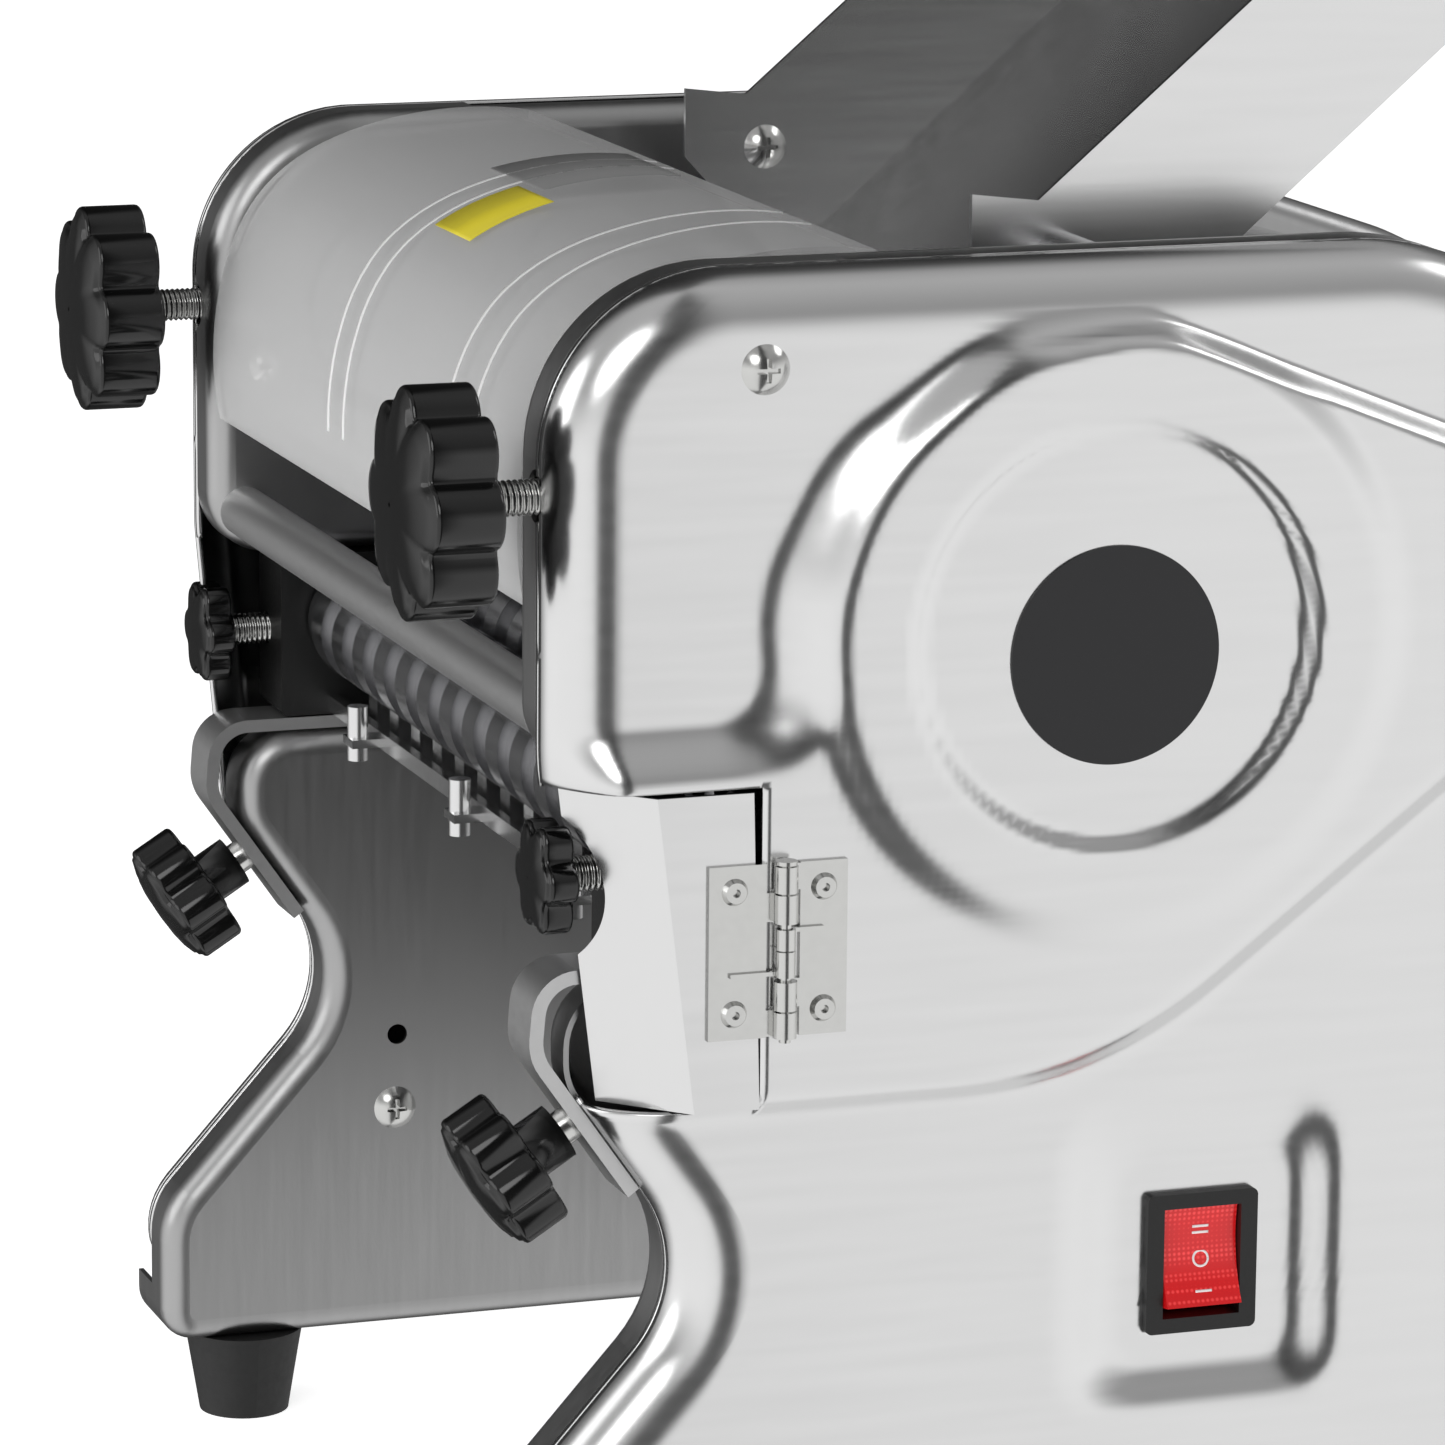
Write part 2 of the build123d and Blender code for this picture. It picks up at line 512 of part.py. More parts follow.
# Clear guard over the rollers
outer_arc = [(-145, 251), (-146, 276), (-134, 306), (-105, 321), (-68, 322.5)]
guard_line = Spline(*outer_arc)
guard_face = make_face(guard_line + Polyline(outer_arc[-1], (-68, 320.5), (-104.6, 319)) +
                       Spline((-104.6, 319), (-132.5, 304.8), (-144, 275.8), (-143, 251)) + Line((-143, 251), (-145, 251)))
guard = extrude(Plane.YZ.offset(-INNER) * guard_face, amount=2 * INNER)
tabs = box(INNER - 8, INNER, -143, -126, 258, 268.6) - box(INNER - 8, INNER - 2, -150, -120, 257, 270)
tabs = tabs - rod_x(-134.3, 263.3, 100, 130, 2.05)
guard = guard + tabs + mirrored(tabs)
parts["guard"] = guard

# Motor cover and the wall behind the outlet
motor_cover = [(6, 282), (20, 299), (60, 303), (160, 275), (204, 250), (204, 50), (205.2, 50), (205.2, 250.9),
               (160.4, 276.3), (60.2, 304.3), (19.4, 300.2), (6, 283.9)]
parts["rear_cover"] = slab(motor_cover, -INNER, INNER)
parts["partition"] = box(-INNER, INNER, 5, 6.2, 34, 282)

# Pan-head screws: pads, panels, chute and guard
screws = []
for sign in (1, -1):
    screws.append(facing(sign * OUTER, -102.3, 303.1, (sign, 0, 0)) *
                  (pan_head(5.3, 2.6) + Pos(0, 0, -1.1) * Cylinder(2.5, 2.2)))
    screws.append(facing(sign * INNER, -101.6, 77, (-sign, 0, 0)) * (pan_head(5.3, 2.6) + Pos(0, 0, -4) * Cylinder(2.5, 8)))
    screws.append(facing(sign * (INNER - 2), -134.3, 263.3, (-sign, 0, 0)) * (pan_head(4.0, 2.0) + Pos(0, 0, -4) * Cylinder(2.0, 8)))
    for y, z in ((-16.8, 315),):
        screws.append(facing(sign * (CHUTE_HALF - SHEET), y, z, (-sign, 0, 0)) *
                      (pan_head(5.3, 2.6) + Pos(0, 0, -13.5) * Cylinder(2.5, 27)))
parts["pan_screws"] = Compound(screws)

# Rubber feet with their screws
feet = []
foot_screws = []
for x in (-FOOT_X, FOOT_X):
    for y in (-137, 190):
        foot = Pos(x, y, FOOT_HEIGHT / 2) * Cone(FOOT_BASE, FOOT_TOP, FOOT_HEIGHT)
        foot = foot - rod_z(x, y, -1, 10, 6) - rod_z(x, y, -1, 30, 3.0)
        feet.append(foot)
        foot_screws.append(rod_z(x, y, 6, 10, 5.0) + rod_z(x, y, 6, PANEL_BOTTOM, 3.0))
parts["feet"] = Compound(feet)
parts["foot_screws"] = Compound(foot_screws)

# Knobs and screws of the roller gap
for name, x in (("left", -SCREW_X), ("right", SCREW_X)):
    screw = rod_y(x, SCREW_Z, -166, FRONT_ROLLER_Y - BLOCK_HALF_Y + 3.5, THREAD)
    parts["gap_screw_" + name] = screw
    hub = Pos(0, 0, 5) * Cylinder(9, 10)
    grip = knob(BIG_KNOB, 8, 13.5, 4.5) + hub - Pos(0, 0, 2.8) * Cylinder(THREAD, 5.6)
    parts["gap_knob_" + name] = facing(x, -160.4, SCREW_Z, (0, -1, 0)) * grip

# Knobs and studs that lock the cutter
for name, x in (("left", -LOCK_X), ("right", LOCK_X)):
    parts["lock_stud_" + name] = rod_y(x, LOCK_Z, -144, BLOCK_FRONT + 2.0, THREAD)
    grip = knob(SMALL_KNOB, 6, 6.0, 2.0) - Pos(0, 0, 1.7) * Cylinder(THREAD, 3.4)
    parts["lock_knob_" + name] = facing(x, -140.6, LOCK_Z, (0, -1, 0)) * grip

# Clamps that hook over the legs, with their studs and knobs
aim = (0, -cos(radians(CLAMP_ANGLE)), -sin(radians(CLAMP_ANGLE)))
along = (sin(radians(CLAMP_ANGLE)), -cos(radians(CLAMP_ANGLE)))
strap_out = FilletPolyline((-112, 176.4), (-147.5, 176.4), (-149.0, 158.0), (-126.8, 126.4), radius=[10, 12])
strap_in = FilletPolyline((-124.4, 128.2), (-145.9, 158.9), (-144.6, 173.4), (-112, 173.4), radius=[9, 7])
straps = []
for sign in (1, -1):
    edge = strap_out + strap_in + Line((-126.8, 126.4), (-124.4, 128.2)) + Line((-112, 173.4), (-112, 176.4))
    strap = extrude(Plane.YZ.offset(STRAP_X - STRAP_HALF) * make_face(edge), amount=2 * STRAP_HALF)
    hole = facing(STRAP_X, -137.6, 141.5, aim) * Cylinder(THREAD + RUNNING_FIT, 30)
    strap = strap - hole
    straps.append(strap if sign > 0 else mirrored(strap))
parts["clamp_straps"] = Compound(straps)
for name, x in (("left", -STRAP_X), ("right", STRAP_X)):
    start = (x, -137.6, 141.5)
    stud = facing(*start, aim) * (Pos(0, 0, 6.0) * Cylinder(THREAD, 16.0))
    parts["clamp_stud_" + name] = stud
    grip = Pos(0, 0, 5.5) * Cylinder(6.3, 11.0) + Pos(0, 0, 9.0) * knob(16.0, 7, 11.0, 3.0)
    grip = Pos(0, 0, 2.2) * grip - Pos(0, 0, 7.0) * Cylinder(THREAD, 14.0)
    parts["clamp_knob_" + name] = facing(*start, aim) * grip

# Hatch over the cutter gears
def hatch_ring(z, y_edge, y_bend, y_front, shrink):
    """One closed plan outline of the hatch at a height."""
    t = SHEET
    outer = [(OUTER + RISE, y_edge), (OUTER + RISE, y_bend), (137.0, y_front)]
    inner = [(137.0 + 0.8, y_front + t), (OUTER + RISE - t, y_bend + 0.6), (OUTER + RISE - t, y_edge)]
    return Plane.XY.offset(z) * make_face(Polyline(*(outer + inner), close=True))


hatch = loft([hatch_ring(HATCH_LOW, -104.2, -118.5, -134.5, 0), hatch_ring(HATCH_HIGH, -106.0, -127.0, -143.0, 0)], ruled=True)
hatch = hatch - rod_y(121.5, 195.0, -160, -110, 21.5)
parts["hatch"] = hatch


def leaf(y0, y1, knuckles):
    """One hinge leaf with its rolled knuckles."""
    face_x = OUTER + RISE
    plate = box(face_x, face_x + 1.0, y0, y1, HINGE_LOW, HINGE_HIGH)
    for z0, z1 in knuckles:
        tab = rod_z(PIN_X, PIN_Y, z0, z1, KNUCKLE)
        web = box(face_x + 0.1, face_x + 1.0, min(PIN_Y, y0), max(PIN_Y, y1), z0, z1)
        plate = plate + tab + web
    return plate


GAP = 0.2
cells = [(164, 170), (170, 176.5), (188.5, 195), (195, 201)]
moving_cells = [cells[0], cells[2]]
fixed_cells = [cells[1], cells[3]]
leaf_fixed = leaf(-96.0, -85.6, [(a + GAP, b - GAP) for a, b in fixed_cells])
leaf_moving = leaf(-116.0, -103.4, [(a + GAP, b - GAP) for a, b in moving_cells])
bore = rod_z(PIN_X, PIN_Y, 150, 215, PIN_RADIUS + 0.03)
parts["hinge_leaf_fixed"] = leaf_fixed - bore
parts["hinge_leaf_moving"] = leaf_moving - bore
parts["hinge_pin"] = rod_z(PIN_X, PIN_Y, 163.2, 201.8, PIN_RADIUS) + rod_z(PIN_X, PIN_Y, 201.1, 201.9, 2.3)


def half_spring(z0, coils, leg_y, leg_z):
    """A stack of spring coils with one straight leg lying on a hinge leaf."""
    body = rod_z(PIN_X, PIN_Y, z0, z0 + coils * 1.1, 2.1) - rod_z(PIN_X, PIN_Y, z0 - 1, z0 + 20, 1.5)
    reach = abs(leg_y - PIN_Y)
    leg = box(OUTER + RISE + 1.02, OUTER + RISE + 1.9, min(PIN_Y, leg_y), max(PIN_Y, leg_y), leg_z, leg_z + 0.9)
    return body + (leg - rod_z(PIN_X, PIN_Y, z0 - 1, z0 + 20, 1.5)) if reach else body


parts["spring_moving"] = half_spring(177.2, 5, -111.5, 177.3)
parts["spring_fixed"] = half_spring(183.0, 4, -91.0, 186.4)
for name, centre in (("rivets_moving", -110.4), ("rivets_fixed", -90.8)):
    rivets = []
    for z in (169.5, 195.5):
        rivet = Pos(OUTER + RISE + 1.0 + 0.6, centre, z) * Rot(0, 90, 0) * Cone(2.9, 2.2, 1.2)
        rivet = rivet - rod_x(centre, z, OUTER, OUTER + 20, 0.9)
        rivets.append(rivet)
    parts[name] = Compound(rivets)

# Rocker switch in the pocket
bx = OUTER - POCKET
bezel = box(bx, bx + 2.2, SWITCH_Y - BEZEL_Y / 2, SWITCH_Y + BEZEL_Y / 2, SWITCH_Z - BEZEL_Z / 2, SWITCH_Z + BEZEL_Z / 2)
bezel = fillet(bezel.edges().filter_by(Axis.X), 1.5)
barrel = box(bx - 15, bx, SWITCH_Y - 10.8, SWITCH_Y + 10.8, SWITCH_Z - 14.0, SWITCH_Z + 14.0)
well = box(bx - 13.5, bx + 3, SWITCH_Y - 8.9, SWITCH_Y + 8.9, SWITCH_Z - 12.2, SWITCH_Z + 12.2)
bezel = bezel + barrel - well
ROCKER_X = bx - 4.5
rocker = slab([(SWITCH_Y - 8.6, SWITCH_Z - 10.7), (SWITCH_Y + 8.6, SWITCH_Z - 10.7), (SWITCH_Y + 8.6, SWITCH_Z + 10.7),
               (SWITCH_Y - 8.6, SWITCH_Z + 10.7)], ROCKER_X - 2.0, ROCKER_X + 7.4)
crown = Pos(ROCKER_X + 34.0, SWITCH_Y, SWITCH_Z) * Rot(90, 0, 0) * Cylinder(29.0, 40)
rocker = rocker - crown
rocker = rocker + rod_y(ROCKER_X, SWITCH_Z, SWITCH_Y - 8.6, SWITCH_Y + 8.6, 3.4)
ROCKER_REST = -10.0
rocker = Pos(ROCKER_X, SWITCH_Y, SWITCH_Z) * Rot(0, ROCKER_REST, 0) * Pos(-ROCKER_X, -SWITCH_Y, -SWITCH_Z) * rocker
parts["switch_bezel"] = bezel
parts["switch_rocker"] = rocker

# Plain round badge on the drum
parts["badge"] = rod_x(DISH_Y, 240.3, OUTER + RISE, OUTER + RISE + 0.6, 23.3)

# Power inlet at the rear
inlet = box(-24, 24, 205.2, 208.2, 76, 104) + box(-18, 18, 190, 205.2, 79, 101)
inlet = inlet - box(-12, 12, 196, 209, 83, 97)
for x in (-6, 0, 6):
    inlet = inlet + box(x - 1, x + 1, 194, 205, 88, 93)
parts["power_inlet"] = inlet
parts["rear_cover"] = parts["rear_cover"] - box(-18, 18, 200, 210, 79, 101)
parts["inner_panel_right"] = parts["inner_panel_right"] - rod_x(IDLER_Y, IDLER_Z, 110, 125, 5.5)

# Put the origin at the middle of the footprint, on the floor
whole = Compound([shape for shape in parts.values()]).bounding_box()
SHIFT = (-(whole.min.X + whole.max.X) / 2, -(whole.min.Y + whole.max.Y) / 2, -whole.min.Z)
for name, shape in parts.items():
    export_step(Pos(*SHIFT) * shape, "parts/" + name + ".step")
print(len(parts), "pieces", "shift", [round(v, 4) for v in SHIFT], "size", whole.size)
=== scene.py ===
import json
import math

import bpy
import numpy as np
from mathutils import Matrix, Vector


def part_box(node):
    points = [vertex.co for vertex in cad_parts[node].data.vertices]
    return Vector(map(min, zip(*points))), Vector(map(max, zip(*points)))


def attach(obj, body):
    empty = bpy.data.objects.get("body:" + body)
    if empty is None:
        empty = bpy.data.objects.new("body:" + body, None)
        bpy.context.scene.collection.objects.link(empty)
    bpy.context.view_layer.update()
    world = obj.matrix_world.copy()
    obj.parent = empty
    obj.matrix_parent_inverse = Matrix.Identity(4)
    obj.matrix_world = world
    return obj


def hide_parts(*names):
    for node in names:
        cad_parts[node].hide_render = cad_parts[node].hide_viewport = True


bl_info = {
    "name": "Dough sheeter looks",
    "version": (1, 0, 0),
    "blender": (4, 0, 0),
    "location": "3D View > Sidebar > Sheeter",
    "description": "Finishes, pressed covers, knobs, threads, lights and camera for a dough sheeter",
    "category": "Object",
}

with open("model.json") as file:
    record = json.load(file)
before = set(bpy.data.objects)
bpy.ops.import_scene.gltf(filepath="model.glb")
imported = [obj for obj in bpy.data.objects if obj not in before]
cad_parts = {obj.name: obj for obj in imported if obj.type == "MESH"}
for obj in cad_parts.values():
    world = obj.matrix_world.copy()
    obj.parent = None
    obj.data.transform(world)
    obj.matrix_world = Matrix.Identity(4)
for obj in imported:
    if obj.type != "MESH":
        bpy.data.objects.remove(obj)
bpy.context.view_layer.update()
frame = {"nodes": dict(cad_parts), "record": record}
NODES = frame["nodes"]

# Millimetres in a metre
MM = 1000.0

# Centre of the dish in Y and Z, in millimetres like every size of the shape; the badge has the same Y
DISH = (-26.4, 244.3)

# Where the design axes sit in the frame: X 0 is the mid-plane, Z 0 the floor
BADGE_LOW, BADGE_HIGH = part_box("badge")
PANEL_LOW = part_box("inner_panel_left")[0]
PANEL_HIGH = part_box("inner_panel_right")[1]
SHIFT = np.array([(PANEL_LOW[0] + PANEL_HIGH[0]) * MM / 2,
                  (BADGE_LOW[1] + BADGE_HIGH[1]) * MM / 2 - DISH[0], 0.0])


def metres(points):
    """Design millimetres to frame metres: add the shift, then divide by a thousand."""
    return (np.asarray(points, dtype=float) + SHIFT) / MM


def linear(code):
    """An sRGB hex colour as a linear RGBA tuple."""
    values = [int(code[i:i + 2], 16) / 255.0 for i in (1, 3, 5)]
    return tuple(v / 12.92 if v <= 0.04045 else ((v + 0.055) / 1.055) ** 2.4 for v in values) + (1.0,)


# ---------------------------------------------------------------- meshes


def put_mesh(name, points, quads, body, replaced=()):
    """A smooth mesh object from an array of vertices in millimetres and an array of quads."""
    mesh = bpy.data.meshes.new(name)
    mesh.from_pydata(metres(points).tolist(), [], quads.tolist())
    mesh.validate()
    mesh.update()
    mesh.polygons.foreach_set("use_smooth", np.full(len(mesh.polygons), True))
    obj = bpy.data.objects.new(name, mesh)
    bpy.context.scene.collection.objects.link(obj)
    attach(obj, body)
    if replaced:
        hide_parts(*replaced)
    return obj


def grid_quads(rows, columns, closed=False):
    """The quads of a rows by columns grid; closed joins the last column to the first."""
    i = np.arange(rows - 1)[:, None]
    j = np.arange(columns if closed else columns - 1)[None, :]
    k = (j + 1) % columns
    near = i * columns
    far = near + columns
    return np.stack([near + j, near + k, far + k, far + j], -1).reshape(-1, 4)


def finish(obj, material):
    """Give a piece its material."""
    obj.data.materials.clear()
    obj.data.materials.append(material)


def rounded(points, radii, step=1.5):
    """A closed outline: each corner becomes an arc tangent to both of its sides.

    Arcs are sampled about every step, straight sides about every 3 mm.
    """
    out = []
    pts = np.asarray(points, float)
    count = len(pts)
    for i in range(count):
        corner = pts[i]
        back = pts[i - 1] - corner
        ahead = pts[(i + 1) % count] - corner
        back /= np.linalg.norm(back)
        ahead /= np.linalg.norm(ahead)
        half = math.acos(np.clip(back @ ahead, -1, 1)) / 2
        radius = radii[i]
        reach = radius / math.tan(half)
        start = corner + back * reach
        end = corner + ahead * reach
        centre = corner + (back + ahead) / np.linalg.norm(back + ahead) * radius / math.sin(half)
        a0 = math.atan2(*(start - centre)[::-1])
        turn = (math.atan2(*(end - centre)[::-1]) - a0 + math.pi) % (2 * math.pi) - math.pi
        angles = a0 + np.linspace(0, 1, max(4, int(abs(turn) * radius / step) + 2)) * turn
        out.append(centre + radius * np.stack([np.cos(angles), np.sin(angles)], -1))
    corners = np.concatenate(out)
    ahead = np.roll(corners, -1, 0)
    length = np.linalg.norm(ahead - corners, axis=1)
    pieces = []
    for corner, side, reach in zip(corners, ahead - corners, length):
        if reach > 1e-9:
            count = max(1, int(reach / 3.0))
            pieces.append(corner + side * np.linspace(0, 1, count + 1)[:-1, None])
    return np.concatenate(pieces)


def distance(points, outline):
    """Distance from each point to a closed outline: the least over its straight steps."""
    flat = points.reshape(-1, 2)
    best = np.full(len(flat), 1e9)
    ahead = np.roll(outline, -1, 0)
    for a, b in zip(outline, ahead):
        d = b - a
        t = np.clip(((flat - a) @ d) / max(d @ d, 1e-12), 0, 1)
        best = np.minimum(best, np.hypot(*(flat - a - t[:, None] * d).T))
    return best.reshape(points.shape[:-1])


def inside(points, outline):
    """Whether each point is inside a closed outline: an odd count of crossings along a ray."""
    y, z = points[..., 0], points[..., 1]
    odd = np.zeros(y.shape, bool)
    for (y0, z0), (y1, z1) in zip(outline, np.roll(outline, -1, 0)):
        if z0 != z1:
            crossing = ((z0 > z) != (z1 > z)) & (y < (y1 - y0) * (z - z0) / (z1 - z0) + y0)
            odd ^= crossing
    return odd


def ease(t):
    """Smooth step from 0 to 1."""
    t = np.clip(t, 0, 1)
    return t * t * (3 - 2 * t)


# Base plane of the pressed side, its fold and the strip that runs down to the seam
OUTER = 148.0
FOLD = 14.0
FOLD_DEPTH = 12.0
SEAM = 134.3
SHEET = 1.2
TOP = 323.0
BOTTOM = 34.0
# Raised field, and the plateau with its dish
RISE = 6.0
PLATEAU = 1.9
PLATEAU_RADIUS = 67.5
PLATEAU_SLOPE = 8.0
DISH_RADIUS = 45.4
DISH_SLOPE = 2.2
# Heights that the hatch of the right side and the notch of the left one span, and the hatch's rear edge
HATCH = (147.4, 217.0)
NOTCH = (173.0, 218.0)
HATCH_EDGE = -104.05
# Hole for the gap screw: X, Z and radius
KEYHOLE = (134.0, 276.6, 5.6)
# Depth of the switch pocket, height of the switch, half width and half height of its window
POCKET = 4.0
SWITCH_Z = 104.0
WINDOW = (10.5, 13.0)
# Gap that the weld closes, film on the guard, ink on the rocker
WELD = 0.02
FILM = 0.2
INK = 0.04
LEG = [(-160, 54.1), (-110.6, 108.9), (-140.5, 151.5)]
OUTLINE = rounded([(-160, BOTTOM), (222, BOTTOM), (222, 255), (160, 284), (44, TOP), (-147, TOP),
                   (-147, 222)] + LEG[::-1], [12.2, 20, 34, 60, 60, 39, 60, 14, 28, 20])
# Foot and top of the wall round the raised field
FOOT = rounded([(-175, 143), (-25.9, 143), (103, 240.2), (103, 264.8), (-14, 310.9), (-52, 311), (-88, 288.5),
                (-104, 258), (-101.5, 230.5), (-175, 230.5)], [4, 100, 20, 14, 30, 40, 40, 40, 11, 4])
CREST = rounded([(-175, 152), (-28.7, 152), (92, 243), (92, 263), (-20, 307.2), (-52, 300.5), (-79, 277),
                 (-87.5, 252), (-85, 218.5), (-175, 216.5)], [4, 100, 18, 14, 30, 40, 50, 40, 18, 4])
# Rim and floor of the switch pocket: centre, half sizes and corner radius
RIM = (-1.5, 106.5, 33.0, 35.0, 13.0)
FLOOR = (0.8, 104.2, 20.0, 22.0, 6.0)


def box_distance(y, z, box):
    """Signed distance to a rounded rectangle, negative inside."""
    cy, cz, hy, hz, radius = box
    dy = np.abs(y - cy) - hy + radius
    dz = np.abs(z - cz) - hz + radius
    return np.hypot(np.maximum(dy, 0), np.maximum(dz, 0)) + np.minimum(np.maximum(dy, dz), 0) - radius


def side_height(y, z, switch):
    """Height of the pressed side at (y, z).

    The base plane, less a quarter-round fold near the outline, plus a field that rises by a smooth step
    between its foot line and its top line, plus a cone-edged plateau with a shallow dish, less the switch
    pocket, which falls by a smooth step between its rim and its floor.
    """
    points = np.stack([y, z], -1)
    edge = np.minimum(distance(points, OUTLINE), FOLD)
    fold = FOLD_DEPTH * (1 - np.sqrt(np.maximum(1 - (1 - edge / FOLD) ** 2, 0)))
    outer = distance(points, FOOT)
    inner = distance(points, CREST)
    level = np.where(inside(points, CREST), 1.0, outer / np.maximum(outer + inner, 1e-6))
    level = np.where(inside(points, FOOT), level, 0.0)
    x = OUTER - fold + RISE * ease(level) * ease(edge / FOLD)
    r = np.hypot(y - DISH[0], z - DISH[1])
    x = x + PLATEAU * ease((PLATEAU_RADIUS - r) / PLATEAU_SLOPE)
    x = x - PLATEAU * ease((DISH_RADIUS - r) / DISH_SLOPE)
    if switch:
        rim = -box_distance(y, z, RIM)
        floor = box_distance(y, z, FLOOR)
        depth = np.where(floor <= 0, 1.0, rim / np.maximum(rim + floor, 1e-6))
        x = x - POCKET * ease(np.where(rim > 0, depth, 0.0))
    return x


def outline_limits(z):
    """The front and rear edge of the outline at each height."""
    low = np.full(z.shape, 1e9)
    high = np.full(z.shape, -1e9)
    for (y0, z0), (y1, z1) in zip(OUTLINE, np.roll(OUTLINE, -1, 0)):
        hit = (min(z0, z1) - 1e-9 <= z) & (z <= max(z0, z1) + 1e-9)
        t = (z - z0) / (z1 - z0) if abs(z1 - z0) > 1e-9 else np.zeros(z.shape)
        for share in ((t,) if abs(z1 - z0) > 1e-9 else (t, t + 1)):
            y = y0 + share * (y1 - y0)
            low = np.where(hit, np.minimum(low, y), low)
            high = np.where(hit, np.maximum(high, y), high)
    return low, high


def spaced(low, high, step):
    """Even samples between two values at about the step."""
    return np.linspace(low, high, int(round((high - low) / step)) + 1)


def side_grid(switch):
    """One grid over the whole side, with a column along the hatch edge.

    Each row keeps one height and runs from the front edge to the rear one, finely spaced near both.
    """
    low = BOTTOM + FOLD * (1 - np.cos(np.linspace(0, math.pi / 2, 10)))
    high = TOP - FOLD * (1 - np.sin(np.linspace(0, math.pi / 2, 12)))
    z = np.concatenate([low, spaced(low[-1], HATCH[0], 2.2)[1:], spaced(HATCH[0], HATCH[1], 1.6)[1:],
                        spaced(HATCH[1], high[0], 1.4)[1:], high[1:]])
    front, rear = outline_limits(z)
    lead = FOLD * 1.05 * (1 - np.cos(np.linspace(0, math.pi / 2, 13)))
    tail = 46.0 * (1 - np.linspace(0, 1, 24)) ** 2.2
    split = np.maximum(HATCH_EDGE, front + lead[-1] + 6.0)
    first = front + lead[-1]
    last = rear - tail[0]
    # Columns: over the front fold, to the hatch edge, to the last 46 mm, and closing in on the rear edge
    near = np.linspace(0, 1, 27)[1:]
    middle = np.linspace(0, 1, 140)[1:]
    y = np.concatenate([front[:, None] + lead, first[:, None] + (split - first)[:, None] * near,
                        split[:, None] + (last - split)[:, None] * middle, rear[:, None] - tail[1:]], 1)
    z = np.repeat(z[:, None], y.shape[1], 1)
    return np.stack([side_height(y, z, switch), y, z], -1)


def build_cover(name, node, side, switch):
    """The pressed cover of one side box: a grid over its outline and a straight strip down to the seam."""
    grid = side_grid(switch)
    rows, columns = grid.shape[:2]
    levels = (OUTER - FOLD_DEPTH, SEAM)
    ring = np.stack([np.column_stack([np.full(len(OUTLINE), x), OUTLINE]) for x in levels])
    points = np.concatenate([grid.reshape(-1, 3), ring.reshape(-1, 3)])
    face = grid_quads(rows, columns)
    strip = grid_quads(2, len(OUTLINE), closed=True)[:, ::-1] + rows * columns
    centre = points[face].mean(1)
    if switch:
        hatch = (centre[:, 1] < HATCH_EDGE) & (centre[:, 2] > HATCH[0]) & (centre[:, 2] < HATCH[1])
        window = (np.abs(centre[:, 1]) < WINDOW[0]) & (np.abs(centre[:, 2] - SWITCH_Z) < WINDOW[1])
        face = face[~(hatch | window)]
    # The strip is cut only along its front
    centre = points[strip].mean(1)
    low, high = HATCH if switch else NOTCH
    gap = (centre[:, 1] < -100) & (centre[:, 2] > low) & (centre[:, 2] < high)
    x, z, radius = KEYHOLE
    keyhole = (np.hypot(centre[:, 0] - x, centre[:, 2] - z) < radius) & (centre[:, 1] < -130)
    quads = np.concatenate([face, strip[~(gap | keyhole)]])
    if side < 0:
        points = points * np.array([-1, 1, 1])
        quads = quads[:, ::-1]
    obj = put_mesh(name, points, quads, "chassis", (node,))
    weld = obj.modifiers.new("weld", "WELD")
    weld.merge_threshold = WELD / MM
    wall = obj.modifiers.new("sheet", "SOLIDIFY")
    wall.thickness = SHEET / MM
    wall.offset = -1.0
    return obj


def lobed(angle, lobes, radius, lobe):
    """Outline radius of a lobed knob: the far crossing of a ray with the nearest lobe's circle."""
    step = 2 * math.pi / lobes
    near = (angle + step / 2) % step - step / 2
    centre = radius - lobe
    inner = centre * np.sin(near)
    return centre * np.cos(near) + np.sqrt(np.maximum(lobe ** 2 - inner ** 2, (0.55 * lobe) ** 2))


def knob_points(lobes, radius, lobe, thick, dome, hub, hub_length):
    """Knob surface: a profile from the domed face over a rounded rim to the hub.

    The radius of each row is a share of the lobed outline, and near the middle of the round one.
    """
    rim = 1.1
    # Each row: fraction of the lobed radius, fixed inset, height along the axis
    rows = [(0.02, 0.0, thick + dome), (0.25, 0.0, thick + dome * 0.97), (0.5, 0.0, thick + dome * 0.86),
            (0.7, 0.0, thick + dome * 0.66), (0.8, 0.0, thick + dome * 0.48), (0.9, 0.0, thick + dome * 0.3)]
    for a in np.linspace(0, math.pi / 2, 6):
        rows.append((1.0, rim * (1 - math.sin(a)), thick - rim * (1 - math.cos(a)) + 0.06 * dome))
    for a in np.linspace(0, math.pi / 2, 5):
        rows.append((1.0, rim * (1 - math.cos(a)), rim * (1 - math.sin(a))))
    rows = np.array(rows)
    angle = np.linspace(0, 2 * math.pi, lobes * 18, endpoint=False)
    full = lobed(angle, lobes, radius, lobe)
    mix = np.clip(rows[:, 0:1] ** 1.5, 0, 1)
    shape = rows[:, 0:1] * (mix * full[None, :] + (1 - mix) * radius) - rows[:, 1:2]
    height = np.repeat(rows[:, 2:3], len(angle), 1)
    back_r = np.array([hub + 0.6, hub, hub, 0.1])[:, None] * np.ones(len(angle))
    back_z = np.array([0.0, -0.6, -hub_length, -hub_length])[:, None] * np.ones(len(angle))
    shape = np.concatenate([shape, back_r])
    height = np.concatenate([height, back_z])
    return np.stack([shape * np.cos(angle), shape * np.sin(angle), height], -1)


